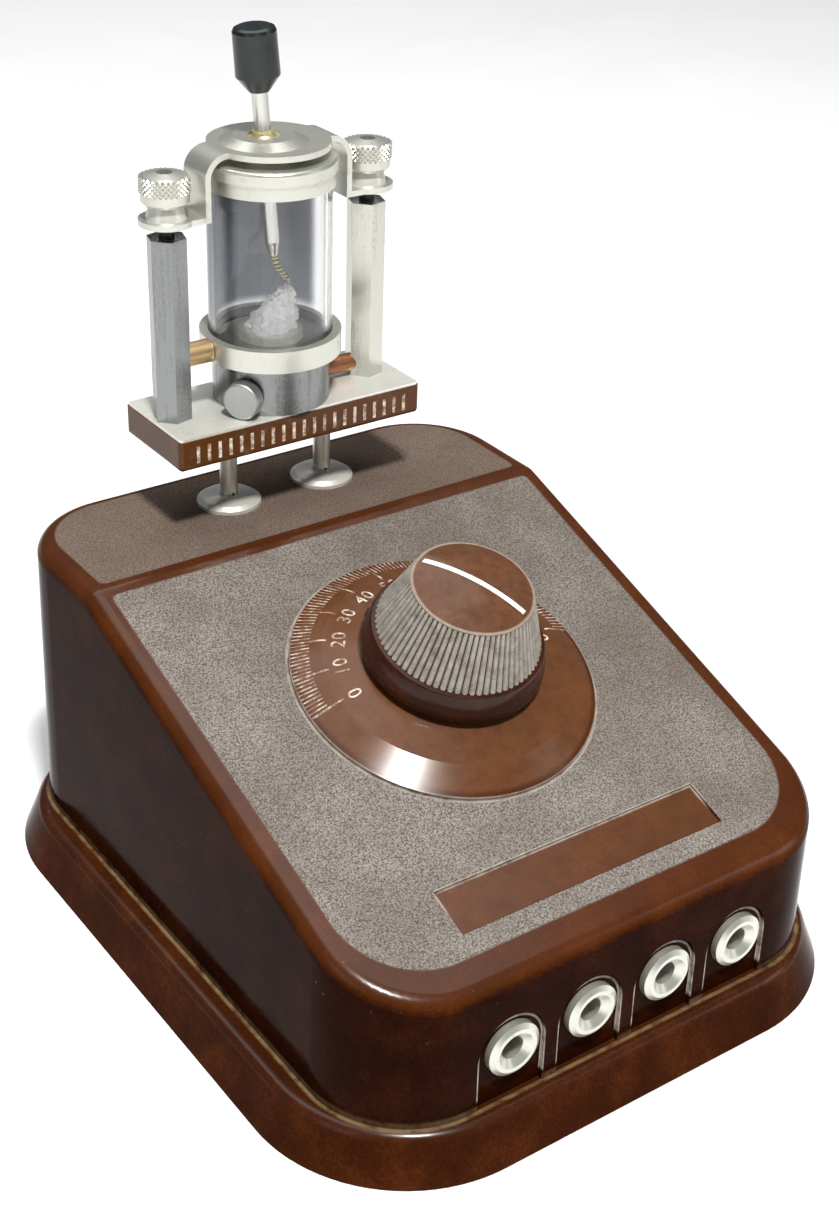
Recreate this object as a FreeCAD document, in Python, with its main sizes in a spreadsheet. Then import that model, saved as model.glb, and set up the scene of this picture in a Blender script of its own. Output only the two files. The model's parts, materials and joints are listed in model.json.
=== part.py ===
"""Bakelite crystal radio receiver with a plug-in crystal detector.

Millimetres, +Z up, +Y towards the back, origin at the middle of the plinth's underside.
The sloping front carries the tuning knob; its frame has Z along the slope's normal.
"""
import FreeCAD, Part
import math
import os

import Sketcher
from FreeCAD import Placement, Rotation, Vector

doc = FreeCAD.newDocument("crystal_receiver")
sheet = doc.addObject("Spreadsheet::Sheet", "dims")


# ---------------------------------------------------------------- sizes that keep their expression
class Size:
    """A number that keeps its spreadsheet expression beside its value."""

    def __init__(self, text, value):
        self.text = text
        self.value = value

    def __add__(self, other):
        return Size(f"({self.text} + {text_of(other)})", self.value + number(other))

    def __radd__(self, other):
        return Size(f"({text_of(other)} + {self.text})", number(other) + self.value)

    def __sub__(self, other):
        return Size(f"({self.text} - {text_of(other)})", self.value - number(other))

    def __rsub__(self, other):
        return Size(f"({text_of(other)} - {self.text})", number(other) - self.value)

    def __mul__(self, other):
        return Size(f"({self.text} * {text_of(other)})", self.value * number(other))

    __rmul__ = __mul__

    def __truediv__(self, other):
        return Size(f"({self.text} / {text_of(other)})", self.value / number(other))

    def __neg__(self):
        return Size(f"(-1 * {self.text})", -self.value)


def number(value):
    return value.value if isinstance(value, Size) else float(value)


def text_of(value):
    return value.text if isinstance(value, Size) else repr(float(value))


def sine(angle):
    return Size(f"sin({angle.text})", math.sin(math.radians(angle.value)))


def cosine(angle):
    return Size(f"cos({angle.text})", math.cos(math.radians(angle.value)))


def size(alias, value, note):
    """Write one driving size into the spreadsheet."""
    size.row += 1
    sheet.set(f"A{size.row}", note)
    sheet.set(f"B{size.row}", str(value))
    sheet.setAlias(f"B{size.row}", alias)
    return Size(f"dims.{alias}", value)


size.row = 0

# Case
plinth_width = size("plinth_width", 110.0, "plinth, left to right")
plinth_depth = size("plinth_depth", 131.8, "plinth, front to back")
plinth_corner = size("plinth_corner", 27.7, "plinth corner radius at the table")
plinth_height = size("plinth_height", 8.0, "plinth height")
plinth_flare = size("plinth_flare", 3.3, "inward slant of the plinth's side")
side_ledge = size("side_ledge", 3.4, "ledge between plinth and body, left and right")
end_ledge = size("end_ledge", 2.2, "ledge between plinth and body, front and back")
ledge_round = size("ledge_round", 2.0, "rounding of the ledge's edge")
body_corner = size("body_corner", 17.7, "body corner radius")
body_draft = size("body_draft", 1.1, "moulding draft, degrees")
deck_height = size("deck_height", 60.75, "height of the flat deck")
deck_depth = size("deck_depth", 32.67, "fold line to the back of the body")
slope_angle = size("slope_angle", 18.7, "slope of the front, degrees")
edge_round = size("edge_round", 2.8, "rounding of the body's top edges")
wall = size("wall", 3.5, "moulded wall thickness")
screw_back = size("screw_back", 6.7, "base screws from the ends of the body's straight sides")
# Dial moulded on the slope
dial_from_fold = size("dial_from_fold", 38.25, "fold line to dial centre, along the slope")
dial_radius = size("dial_radius", 26.3, "outer edge of the dial")
dial_shoulder = size("dial_shoulder", 21.4, "radius where the bevel meets the top")
dial_rise = size("dial_rise", 3.0, "height of the shoulder over the panel")
dial_lip = size("dial_lip", 0.6, "height of the dial's outer edge")
dial_crown = size("dial_crown", 5.0, "height of the top at the bush")
label_width = size("label_width", 52.3, "label recess, left to right")
label_depth = size("label_depth", 8.3, "label recess, along the slope")
label_from_fold = size("label_from_fold", 78.6, "fold line to the label's middle")
label_sink = size("label_sink", 0.4, "label recess, deep")
# Front sockets
socket_pitch = size("socket_pitch", 15.3, "front socket spacing")
socket_height = size("socket_height", 17.6, "front socket axis over the table")
niche_width = size("niche_width", 12.5, "arched niche around a socket")
niche_sink = size("niche_sink", 1.0, "niche, deep")
socket_flange = size("socket_flange", 9.5, "front socket flange, across")
socket_lip = size("socket_lip", 1.2, "front socket flange, thick")
socket_body = size("socket_body", 6.0, "socket thread, across")
socket_length = size("socket_length", 15.0, "socket length behind the flange")
socket_bore = size("socket_bore", 4.06, "hole for a 4 mm plug")
thread_gap = size("thread_gap", 0.1, "clearance of a thread in its hole, on radius")
nut_thick = size("nut_thick", 2.4, "socket nut, thick")
nut_flats = size("nut_flats", 8.0, "socket nut, across flats")
tag_thick = size("tag_thick", 0.5, "solder tag, thick")
# Detector sockets and plug
plug_pitch = size("plug_pitch", 19.8, "detector plug spacing")
plug_from_back = size("plug_from_back", 15.5, "plug line to the back of the body")
deck_flange = size("deck_flange", 11.6, "detector socket flange, across")
deck_lip = size("deck_lip", 1.8, "detector socket flange, thick")
pin_across = size("pin_across", 3.2, "plug pin, across")
pin_length = size("pin_length", 22.0, "plug pin below the base")
pin_gap = size("pin_gap", 0.05, "clearance of a pin in its socket, on radius")
# Detector
base_lift = size("base_lift", 13.25, "deck to the underside of the detector base")
base_length = size("base_length", 49.5, "detector base, left to right")
base_depth = size("base_depth", 19.5, "detector base, front to back")
base_thick = size("base_thick", 6.0, "detector base, thick")
cover_thick = size("cover_thick", 0.5, "nickel covers on the base, thick")
cover_gap = size("cover_gap", 1.5, "gap between the two covers, under the drum")
head_offset = size("head_offset", -0.9, "glass axis from the middle of the plugs")
pivot_offset = size("pivot_offset", -1.0, "ball joint from the glass axis")
post_pitch = size("post_pitch", 39.6, "hexagonal post spacing")
post_flats = size("post_flats", 6.0, "hexagonal post, across flats")
post_turn = size("post_turn", 14.0, "turn of the posts' flats, degrees")
stay_depth = size("stay_depth", 1.4, "stay stud inside its post")
post_height = size("post_height", 32.3, "hexagonal post, tall")
stud_across = size("stud_across", 2.6, "stud on a post, across")
stud_reach = size("stud_reach", 9.6, "stud above its post")
neck = size("neck", 2.3, "gap from post to bridge ear")
strap_thick = size("strap_thick", 1.0, "bridge strap, thick")
strap_width = size("strap_width", 7.3, "bridge strap, wide")
arm_offset = size("arm_offset", 14.3, "bridge arm from the middle")
bridge_rise = size("bridge_rise", 10.2, "ear to bridge plate")
bend_radius = size("bend_radius", 4.2, "outer radius of the bridge's bends")
bridge_plate = size("bridge_plate", 21.0, "round plate of the bridge, across")
drum_across = size("drum_across", 20.7, "drum on the base, across")
drum_height = size("drum_height", 8.8, "drum, tall")
drum_floor = size("drum_floor", 2.0, "drum's floor, thick")
ring_wall = size("ring_wall", 1.55, "glass seat ring, wall round the glass")
ring_height = size("ring_height", 3.9, "glass seat ring, tall")
glass_across = size("glass_across", 21.6, "glass tube, across")
glass_wall = size("glass_wall", 1.1, "glass tube, wall")
glass_gap = size("glass_gap", 0.1, "clearance round the glass, on radius")
glass_bottom = size("glass_bottom", 2.4, "glass seat over the ring's underside")
cap_bottom = size("cap_bottom", 38.6, "cap's lower edge over the base")
cap_height = size("cap_height", 4.8, "cap, tall")
cap_wall = size("cap_wall", 0.4, "cap skirt, wall round the glass")
cap_bead = size("cap_bead", 0.4, "cap upper rim, outside the skirt")
seat_gap = size("seat_gap", 0.05, "clearance in the ball joint, on radius")
pivot_rise = size("pivot_rise", 45.2, "ball centre over the base")
ball_radius = size("ball_radius", 2.5, "pivot ball, radius")
liner_radius = size("liner_radius", 3.1, "outer radius of the ball's liner")
rod_across = size("rod_across", 2.8, "detector rod, across")
rod_lean = size("rod_lean", 5.0, "lean of the rod to the left, degrees")
handle_low = size("handle_low", 9.9, "ball centre to the handle's cone")
handle_length = size("handle_length", 9.6, "handle, tall")
handle_across = size("handle_across", 7.5, "handle, across")
thumb_across = size("thumb_across", 8.1, "knurled nut, across")
thumb_height = size("thumb_height", 5.2, "knurled nut, tall")
# Tuning knob and capacitor, in the slope's frame
knob_lift = size("knob_lift", 6.2, "knob's lower edge over the panel")
knob_skirt = size("knob_skirt", 15.65, "knob skirt radius")
knob_waist = size("knob_waist", 14.0, "radius where the flutes start")
knob_crown = size("knob_crown", 10.3, "radius of the knob's top rim")
knob_waist_rise = size("knob_waist_rise", 11.1, "height where the flutes start")
knob_top = size("knob_top", 21.2, "height of the knob's top rim")
knob_dome = size("knob_dome", 1.9, "dome of the knob's top")
shaft_across = size("shaft_across", 6.0, "tuning shaft, across")
shaft_gap = size("shaft_gap", 0.05, "clearance of the shaft in its bush, on radius")
bush_across = size("bush_across", 9.0, "bush thread, across")
bush_stand = size("bush_stand", 3.2, "bush above the dial's crown")
plate_side = size("plate_side", 42.0, "capacitor end plate, side")
plate_thick = size("plate_thick", 1.5, "capacitor end plate, thick")
pillar_pitch = size("pillar_pitch", 35.0, "capacitor pillar spacing")
vane_pitch = size("vane_pitch", 3.6, "spacing of the fixed vanes")
vane_thick = size("vane_thick", 0.8, "capacitor vane, thick")
vane_radius = size("vane_radius", 14.2, "moving vane, radius")
knob_turn = size("knob_turn", 120.0, "direction of the index line, degrees from +X")
# Base plate and coil
base_gap = size("base_gap", 0.2, "base plate's clearance in its recess")
base_plate_thick = size("base_plate_thick", 2.0, "base plate, thick")
base_rim = size("base_rim", 4.0, "plinth rim outside the base plate")
former_across = size("former_across", 29.0, "coil former, across")
former_wall = size("former_wall", 1.5, "coil former, wall")
former_length = size("former_length", 56.0, "coil former, long")
winding_length = size("winding_length", 44.0, "winding, long")
wire_layer = size("wire_layer", 0.9, "winding, thick")
cheek_thick = size("cheek_thick", 4.0, "coil cheek, thick")
hookup_across = size("hookup_across", 1.2, "hook-up wire, across")

VANES = 4
doc.recompute()

# ---------------------------------------------------------------- places worked out from the sizes
body_width = plinth_width - 2 * (plinth_flare + side_ledge)
body_depth = plinth_depth - 2 * (plinth_flare + end_ledge)
fold_y = body_depth / 2 - deck_depth
plug_y = body_depth / 2 - plug_from_back
dial_y = fold_y - dial_from_fold * cosine(slope_angle)
dial_z = deck_height - dial_from_fold * sine(slope_angle)
base_z = deck_height + base_lift
top_z = base_z + base_thick
ring_z = top_z + drum_height
glass_z = ring_z + glass_bottom
cap_z = top_z + cap_bottom
ear_z = top_z + post_height + neck
bridge_z = ear_z + bridge_rise
pivot_z = top_z + pivot_rise
thumb_z = ear_z + strap_thick + 2.4
post_x = post_pitch / 2
head_x = head_offset + 0.0
pivot_x = head_offset + pivot_offset
cover_z = top_z - cover_thick
stay_reach = post_flats / 2 - stay_depth
ring_across = glass_across + 2 * (glass_gap + ring_wall)
cap_across = glass_across + 2 * (glass_gap + cap_wall)
cap_rim = cap_across + 2 * cap_bead
base_top_z = base_gap + base_plate_thick
coil_radius = former_across / 2 + wire_layer
coil_z = base_top_z + coil_radius + 1.5
coil_y = body_depth / 2 - wall - coil_radius - 3.0
niche_y = -(body_depth / 2) + niche_sink
behind = wall - niche_sink + (socket_height + 5.5) * Size(f"tan({body_draft.text})",
                                                   math.tan(math.radians(body_draft.value)))


# ---------------------------------------------------------------- small tools
def bind(item, **values):
    """Set properties, and bind the ones that come from the spreadsheet."""
    for name, value in values.items():
        if isinstance(value, Size):
            setattr(item, name, value.value)
            item.setExpression(name, value.text)
        else:
            setattr(item, name, value)
    return item


def place(item, x=0, y=0, z=0, axis=(0, 0, 1), angle=0):
    """Set a Placement, and bind what comes from the spreadsheet."""
    turn = Rotation(Vector(*axis), number(angle))
    item.Placement = Placement(Vector(number(x), number(y), number(z)), turn)
    for path, value in (("Base.x", x), ("Base.y", y), ("Base.z", z), ("Rotation.Angle", angle)):
        if isinstance(value, Size):
            item.setExpression(f"Placement.{path}", value.text)
    return item


def on_slope(item):
    """Stand a piece in the slope's frame, at the dial's centre."""
    return place(item, 0, dial_y, dial_z, (1, 0, 0), slope_angle)


def at_pivot(item):
    """Stand a piece at the ball joint, leaning with the rod."""
    return place(item, pivot_x, plug_y, pivot_z, (0, 1, 0), -rod_lean)


def new(kind, label):
    item = doc.addObject(kind, label)
    item.Label = label
    return item


def box(label, length, width, height, x=0, y=0, z=0):
    """A box centred on x and y, standing on z."""
    item = bind(new("Part::Box", label), Length=length, Width=width, Height=height)
    return place(item, x - length / 2, y - width / 2, z)


def cylinder(label, radius, height, x=0, y=0, z=0, axis=(0, 0, 1), angle=0):
    item = bind(new("Part::Cylinder", label), Radius=radius, Height=height)
    return place(item, x, y, z, axis, angle)


def cone(label, low, high, height, x=0, y=0, z=0):
    item = bind(new("Part::Cone", label), Radius1=low, Radius2=high, Height=height)
    return place(item, x, y, z)


def ball(label, radius, x=0, y=0, z=0):
    return place(bind(new("Part::Sphere", label), Radius=radius), x, y, z)


def hexagon(label, flats, height, x=0, y=0, z=0, axis=(0, 0, 1), angle=0):
    item = bind(new("Part::Prism", label), Polygon=6, Circumradius=flats / math.sqrt(3.0), Height=height)
    return place(item, x, y, z, axis, angle)


def fuse(label, *items):
    item = new("Part::MultiFuse", label)
    item.Shapes = list(items)
    return item


def cut(label, base, *tools):
    item = new("Part::Cut", label)
    item.Base = base
    item.Tool = tools[0] if len(tools) == 1 else fuse(label + "_cutters", *tools)
    return item


def common(label, *items):
    item = new("Part::MultiCommon", label)
    item.Shapes = list(items)
    return item


def group(label, *items):
    """Separate solids of one kind kept together in one node."""
    item = new("Part::Compound", label)
    item.Links = list(items)
    return item


def origin_plane(body, role):
    return next(item for item in body.Origin.OriginFeatures if item.Role == role)


def sketch_on(body, role, name):
    sketch = body.newObject("Sketcher::SketchObject", name)
    sketch.AttachmentSupport = [(origin_plane(body, role), "")]
    sketch.MapMode = "FlatFace"
    return sketch


def measured(sketch, kind, start, end, value):
    """A distance constraint bound to the spreadsheet."""
    index = sketch.addConstraint(Sketcher.Constraint(kind, *start, *end, number(value)))
    if isinstance(value, Size):
        sketch.setExpression(f"Constraints[{index}]", value.text)


def outline(body, role, name, points):
    """A closed outline of straight lines; each corner is dimensioned from the origin."""
    sketch = sketch_on(body, role, name)
    spots = [Vector(number(across), number(up), 0) for across, up in points]
    for index, spot in enumerate(spots):
        sketch.addGeometry(Part.LineSegment(spot, spots[(index + 1) % len(spots)]))
    for index, (across, up) in enumerate(points):
        sketch.addConstraint(Sketcher.Constraint("Coincident", index, 2, (index + 1) % len(points), 1))
        for kind, axis_line, value in (("DistanceX", -2, across), ("DistanceY", -1, up)):
            if abs(number(value)) < 1e-9:
                sketch.addConstraint(Sketcher.Constraint("PointOnObject", index, 1, axis_line))
            else:
                measured(sketch, kind, (-1, 1), (index, 1), value)
    return sketch


def turned(label, points):
    """A solid of revolution about Z from an outline of (radius, height) points."""
    body = new("PartDesign::Body", label)
    sketch = outline(body, "XZ_Plane", label + "_profile", points)
    turn = body.newObject("PartDesign::Revolution", label + "_turn")
    turn.Profile = sketch
    turn.ReferenceAxis = (sketch, ["V_Axis"])
    turn.Angle = 360.0
    return body


def rounded_rectangle(body, name, width, depth, corner):
    """A centred rectangle with round corners, dimensioned by its sides and its radius."""
    sketch = sketch_on(body, "XY_Plane", name)
    half_w, half_d, radius = number(width) / 2, number(depth) / 2, number(corner)
    middles = [(1, -1), (1, 1), (-1, 1), (-1, -1)]
    centres = [Vector(sx * (half_w - radius), sy * (half_d - radius), 0) for sx, sy in middles]
    outward = [Vector(0, -radius, 0), Vector(radius, 0, 0), Vector(0, radius, 0), Vector(-radius, 0, 0)]
    for index in range(4):
        start = centres[index - 1] + outward[index]
        end = centres[index] + outward[index]
        sketch.addGeometry(Part.LineSegment(start, end))
    for index, centre in enumerate(centres):
        circle = Part.Circle(centre, Vector(0, 0, 1), radius)
        first = math.radians(-90 + 90 * index)
        sketch.addGeometry(Part.ArcOfCircle(circle, first, first + math.pi / 2))
    for index in range(4):
        arc = 4 + index
        sketch.addConstraint(Sketcher.Constraint("Tangent", index, 2, arc, 1))
        sketch.addConstraint(Sketcher.Constraint("Tangent", arc, 2, (index + 1) % 4, 1))
        sketch.addConstraint(Sketcher.Constraint("Horizontal" if index % 2 == 0 else "Vertical", index))
        if index:
            sketch.addConstraint(Sketcher.Constraint("Equal", 4, arc))
    index = sketch.addConstraint(Sketcher.Constraint("Radius", 4, radius))
    sketch.setExpression(f"Constraints[{index}]", corner.text)
    measured(sketch, "DistanceX", (-1, 1), (1, 1), width / 2)
    measured(sketch, "DistanceY", (-1, 1), (2, 1), depth / 2)
    sketch.addConstraint(Sketcher.Constraint("Symmetric", 4, 3, 6, 3, -1, 1))
    return sketch


def tapered_block(label, width, depth, corner, height, lean):
    """A block with round corners whose sides lean inwards by the angle lean."""
    body = new("PartDesign::Body", label)
    sketch = rounded_rectangle(body, label + "_outline", width, depth, corner)
    pad = body.newObject("PartDesign::Pad", label + "_pad")
    pad.Profile = sketch
    bind(pad, Length=height, TaperAngle=-lean)
    return body


def edges_where(shape, test):
    """Numbers of the edges whose middle and direction pass the test."""
    found = []
    for index, edge in enumerate(shape.Edges, 1):
        middle = edge.valueAt((edge.FirstParameter + edge.LastParameter) / 2)
        if test(edge, middle):
            found.append(index)
    return found


def rounded(label, base, radius, test):
    """Round the chosen edges of a finished solid."""
    doc.recompute()
    item = new("Part::Fillet", label)
    item.Base = base
    item.Edges = [(index, number(radius), number(radius)) for index in edges_where(base.Shape, test)]
    return item


# ---------------------------------------------------------------- case
def console_block(label, width, depth, corner, drop):
    """The wedge-shaped body: a tapered block cut by the slope, lowered by drop for its inside."""
    block = tapered_block(label + "_block", width, depth, corner, deck_height - drop, body_draft)
    cutter = new("Part::Box", label + "_slope")
    reach = plinth_depth * 1.5
    bind(cutter, Length=plinth_width * 2, Width=reach, Height=deck_height)
    half_turn = math.radians(number(slope_angle) / 2)
    fold_back = drop * Size(f"tan({slope_angle.text} / 2)", math.tan(half_turn))
    lift = -(reach * sine(slope_angle))
    place(cutter, -plinth_width, fold_y + fold_back - reach * cosine(slope_angle),
          deck_height - drop + lift, (1, 0, 0), slope_angle)
    return cut(label, block, cutter)


def case_shell():
    lean = Size(f"atan({plinth_flare.text} / {plinth_height.text})",
                math.degrees(math.atan(number(plinth_flare) / number(plinth_height))))
    plinth = tapered_block("plinth_block", plinth_width, plinth_depth, plinth_corner, plinth_height, lean)
    ledge = number(plinth_height)
    plinth = rounded("plinth", plinth, ledge_round, lambda edge, middle: abs(middle.z - ledge) < 0.01)
    body = console_block("console", body_width, body_depth, body_corner, 0.0)
    top = number(socket_height)
    body = rounded("console_soft", body, edge_round,
                   lambda edge, middle: middle.z > top and not upright(edge))
    inside = console_block("inside", body_width - 2 * wall, body_depth - 2 * wall, body_corner - wall, wall)
    recess = tapered_block("base_recess", plinth_width - 2 * base_rim, plinth_depth - 2 * base_rim,
                           plinth_corner - base_rim, base_top_z, 0.0)
    shoulder = cone("dial_bevel", dial_radius, dial_shoulder, dial_rise - dial_lip, z=dial_lip)
    lip = cylinder("dial_lip_disc", dial_radius, dial_lip + 1.0, z=-1.0)
    crown = cone("dial_crown_cone", dial_shoulder, knob_waist, dial_crown - dial_rise, z=dial_rise)
    dial = on_slope(fuse("dial", shoulder, lip, crown))
    bush_cut = on_slope(group("bush_cut", cylinder("bush_way", bush_across / 2 + thread_gap, 40.0, z=-20.0)))
    label_y = fold_y - label_from_fold * cosine(slope_angle)
    label_z = deck_height - label_from_fold * sine(slope_angle)
    label = box("label_block", label_width, label_depth, label_sink + 5.0, z=-label_sink)
    label = place(group("label_recess", label), 0, label_y, label_z, (1, 0, 0), slope_angle)
    tools = [inside, recess, bush_cut, label]
    for index in range(4):
        x = socket_pitch * (index - 1.5)
        arch = cylinder(f"niche_arch_{index}", niche_width / 2, 10.0, x, niche_y, socket_height, (1, 0, 0), 90)
        leg = box(f"niche_leg_{index}", niche_width, 10.0, socket_height - plinth_height,
                  x, niche_y - 5.0, plinth_height)
        hole = cylinder(f"socket_hole_{index}", socket_body / 2 + thread_gap, 20.0,
                        x, niche_y + 10.0, socket_height, (1, 0, 0), 90)
        tools += [arch, leg, hole]
    for index, side in enumerate((-0.5, 0.5)):
        tools.append(cylinder(f"deck_hole_{index}", socket_body / 2 + thread_gap, 20.0,
                              plug_pitch * side, plug_y, deck_height - 10.0))
    for index, (x, y) in enumerate(base_screw_places()):
        tools.append(cylinder(f"base_screw_hole_{index}", 1.2, 4.6, x, y, base_top_z - 0.1))
    return cut("case_shell", fuse("case_solid", plinth, body, dial), *tools)


def upright(edge):
    """True for an edge that runs mainly up and down."""
    first, last = edge.Vertexes[0].Point, edge.Vertexes[-1].Point
    run = last - first
    return abs(run.z) > 0.7 * max(run.Length, 1e-6)


def base_screw_places():
    x = body_width / 2 - wall + 2.6
    y = body_depth / 2 - body_corner - screw_back
    return [(side * x, ahead * y) for side in (-1, 1) for ahead in (-1, 1)]


def base_plate():
    plate = tapered_block("base_blank", plinth_width - 2 * base_rim - 2 * base_gap,
                          plinth_depth - 2 * base_rim - 2 * base_gap,
                          plinth_corner - base_rim - base_gap, base_plate_thick, 0.0)
    place(plate, z=base_gap)
    tools = []
    for index, (x, y) in enumerate(base_screw_places()):
        tools.append(cylinder(f"plate_hole_{index}", 1.55, 4.0, x, y, 0))
        tools.append(cone(f"plate_sink_{index}", 2.9, 1.55, 1.35, x, y, base_gap))
    for index, x in enumerate(cheek_places()):
        tools.append(cylinder(f"cheek_way_{index}", 1.4, 4.0, x, coil_y, 0))
        tools.append(cone(f"cheek_sink_{index}", 2.6, 1.4, 1.2, x, coil_y, base_gap))
    return cut("base_plate", plate, *tools)


def flat_screw(label, x, y, length, shank):
    """Countersunk screw driven upwards through the base plate, with a slot."""
    head = cone(label + "_head", shank + 1.4, shank, 1.3, x, y, base_gap)
    stem = cylinder(label + "_stem", shank, length, x, y, base_gap + 1.3)
    slot = box(label + "_slot", 8.0, 0.6, 0.5, x, y, base_gap - 0.1)
    return cut(label, fuse(label + "_blank", head, stem), slot)


def base_screws():
    screws = [flat_screw(f"base_screw_{index}", x, y, 4.8, 1.15)
              for index, (x, y) in enumerate(base_screw_places())]
    return group("base_screws", *screws)


# ---------------------------------------------------------------- sockets
def front_socket(index):
    """Nickel-plated 4 mm socket, turned about its own axis, then laid along Y."""
    name = f"front_socket_{index + 1}"
    flange = cylinder(name + "_flange", socket_flange / 2, socket_lip, z=-socket_lip)
    lead = cone(name + "_lead", socket_flange / 2, socket_flange / 2 - 0.8, 0.5, z=-socket_lip - 0.5)
    place(lead, 0, 0, -socket_lip, (1, 0, 0), 180)
    thread = cylinder(name + "_thread", socket_body / 2, socket_length)
    bore = cylinder(name + "_bore", socket_bore / 2, socket_length + 1.0, z=-socket_lip - 1.0)
    mouth = cone(name + "_mouth", socket_bore / 2 + 1.2, socket_bore / 2, 1.0, z=-socket_lip - 0.5)
    socket = cut(name, fuse(name + "_blank", flange, lead, thread), bore, mouth)
    return place(socket, socket_pitch * (index - 1.5), niche_y, socket_height, (1, 0, 0), -90)


def ring_of(label, outer, inner, height, z):
    """Flat ring about the local Z axis."""
    return cut(label, cylinder(label + "_disc", outer, height, z=z),
               cylinder(label + "_hole", inner, height + 2.0, z=z - 1.0))


def solder_tag(label, hole, z):
    """Round tag with a tongue that has an eye for the wire."""
    tongue = box(label + "_tongue", 3.0, 9.0, tag_thick, 0, 6.0, z)
    disc = cylinder(label + "_disc", 4.2, tag_thick, z=z)
    eye = cylinder(label + "_eye", 0.8, 4.0, 0, 9.0, z - 1.0)
    return cut(label, fuse(label + "_blank", disc, tongue),
               cylinder(label + "_hole", hole, 4.0, z=z - 1.0), eye)


def hex_nut(label, flats, hole, height, z):
    """Plain hexagonal nut about the local Z axis."""
    blank = hexagon(label + "_hex", flats, height, z=z)
    return cut(label, blank, cylinder(label + "_hole", hole, height + 2.0, z=z - 1.0))


def front_fixings():
    """Solder tags, tongues down, and nuts behind the front wall."""
    tags, nuts = [], []
    for index in range(4):
        tag = solder_tag(f"front_tag_{index}", socket_body / 2 + 0.02, behind)
        nut = hex_nut(f"front_nut_{index}", nut_flats, socket_body / 2, nut_thick, behind + tag_thick)
        for item in (tag, nut):
            place(item, socket_pitch * (index - 1.5), niche_y, socket_height, (1, 0, 0), -90)
        tags.append(tag)
        nuts.append(nut)
    return group("front_solder_tags", *tags), group("front_socket_nuts", *nuts)


def deck_sockets():
    """Flanged sockets for the detector, with their nuts and tags under the deck."""
    sockets, tags, nuts = [], [], []
    for index, side in enumerate((-0.5, 0.5)):
        name = f"deck_socket_{index}"
        base = cylinder(name + "_base", deck_flange / 2, deck_lip / 3)
        bevel = cone(name + "_bevel", deck_flange / 2, deck_flange / 2 - 0.9, deck_lip / 3, z=deck_lip / 3)
        collar = cone(name + "_collar", deck_flange / 2 - 0.9, pin_across / 2 + 0.7, deck_lip / 3,
                      z=deck_lip * 2 / 3)
        thread = cylinder(name + "_thread", socket_body / 2, socket_length, z=-socket_length)
        bore = cylinder(name + "_bore", pin_across / 2 + pin_gap, socket_length + deck_lip + 2.0,
                        z=-socket_length - 1.0)
        socket = cut(name, fuse(name + "_blank", base, bevel, collar, thread), bore)
        tag = solder_tag(f"deck_tag_{index}", socket_body / 2 + 0.02, -wall - tag_thick)
        nut = hex_nut(f"deck_nut_{index}", nut_flats, socket_body / 2, nut_thick,
                      -wall - tag_thick - nut_thick)
        for item in (socket, tag, nut):
            place(item, plug_pitch * side, plug_y, deck_height, (0, 0, 1), 180)
        sockets.append(socket)
        tags.append(tag)
        nuts.append(nut)
    return (group("deck_sockets", *sockets), group("deck_solder_tags", *tags),
            group("deck_socket_nuts", *nuts))


# ---------------------------------------------------------------- tuning knob and capacitor
def tuning_knob():
    """Fluted knob with a smooth skirt, a domed top and a hollow for the bush nut."""
    knob = turned("knob_blank", [
        (shaft_across / 2, knob_lift + 1.5), (knob_skirt - 3.0, knob_lift + 1.5), (knob_skirt - 2.4, knob_lift),
        (knob_skirt, knob_lift), (knob_skirt, knob_lift + 1.2), (knob_waist + 0.5, knob_waist_rise),
        (knob_waist, knob_waist_rise), (knob_crown, knob_top), (knob_crown - 1.0, knob_top + 0.3),
        (knob_crown / 2, knob_top + knob_dome * 0.75), (shaft_across / 2, knob_top + knob_dome * 0.93)])
    top = cone("knob_top_plug", shaft_across / 2, 0.4, knob_dome * 0.07 + 0.001, z=knob_top + knob_dome * 0.93)
    plug = cylinder("knob_core", shaft_across / 2, knob_top + knob_dome * 0.93 - knob_waist_rise - 5.0,
                    z=knob_waist_rise + 5.0)
    hollow = cylinder("knob_hollow", 8.5, dial_crown + bush_stand + 1.6 - knob_lift, z=knob_lift - 1.0)
    screw = grub_cutter("knob_grub_hole", 1.75)
    return on_slope(cut("tuning_knob", fuse("knob_solid", knob, plug, top), hollow, screw))


GRUB_TURN = -61.0


def grub_cutter(label, radius):
    """A radial cylinder from the shaft outwards at the grub screw's height."""
    hole = cylinder(label + "_way", radius, 20.0, shaft_across / 2, 0, knob_waist_rise + 2.8, (0, 1, 0), 90)
    return place(group(label, hole), 0, 0, 0, (0, 0, 1), GRUB_TURN)


def grub_screw():
    stem = cylinder("grub_stem", 1.7, 8.2, shaft_across / 2, 0, knob_waist_rise + 2.8, (0, 1, 0), 90)
    slot = box("grub_slot", 1.6, 4.0, 0.5, shaft_across / 2 + 8.2, 0, knob_waist_rise + 2.55)
    screw = place(cut("grub_solid", stem, slot), 0, 0, 0, (0, 0, 1), GRUB_TURN)
    return on_slope(group("grub_screw", screw))


def bush_and_shaft():
    behind = wall + plate_thick
    bush = ring_of("shaft_bush", bush_across / 2, shaft_across / 2 + shaft_gap, behind + dial_crown + bush_stand,
                   -behind)
    nut = hex_nut("bush_nut", 12.5, bush_across / 2, 2.2, dial_crown)
    depth = vane_pitch * (VANES + 1) + 2 * plate_thick
    shaft = cylinder("shaft_rod", shaft_across / 2, wall + depth + 2.0 + knob_waist_rise + 5.0,
                     z=-wall - depth - 2.0)
    return on_slope(bush), on_slope(nut), on_slope(group("tuning_shaft", shaft))


def pillar_places():
    half = pillar_pitch / 2
    return [(side * half, up * half) for side in (-1, 1) for up in (-1, 1)]


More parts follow.
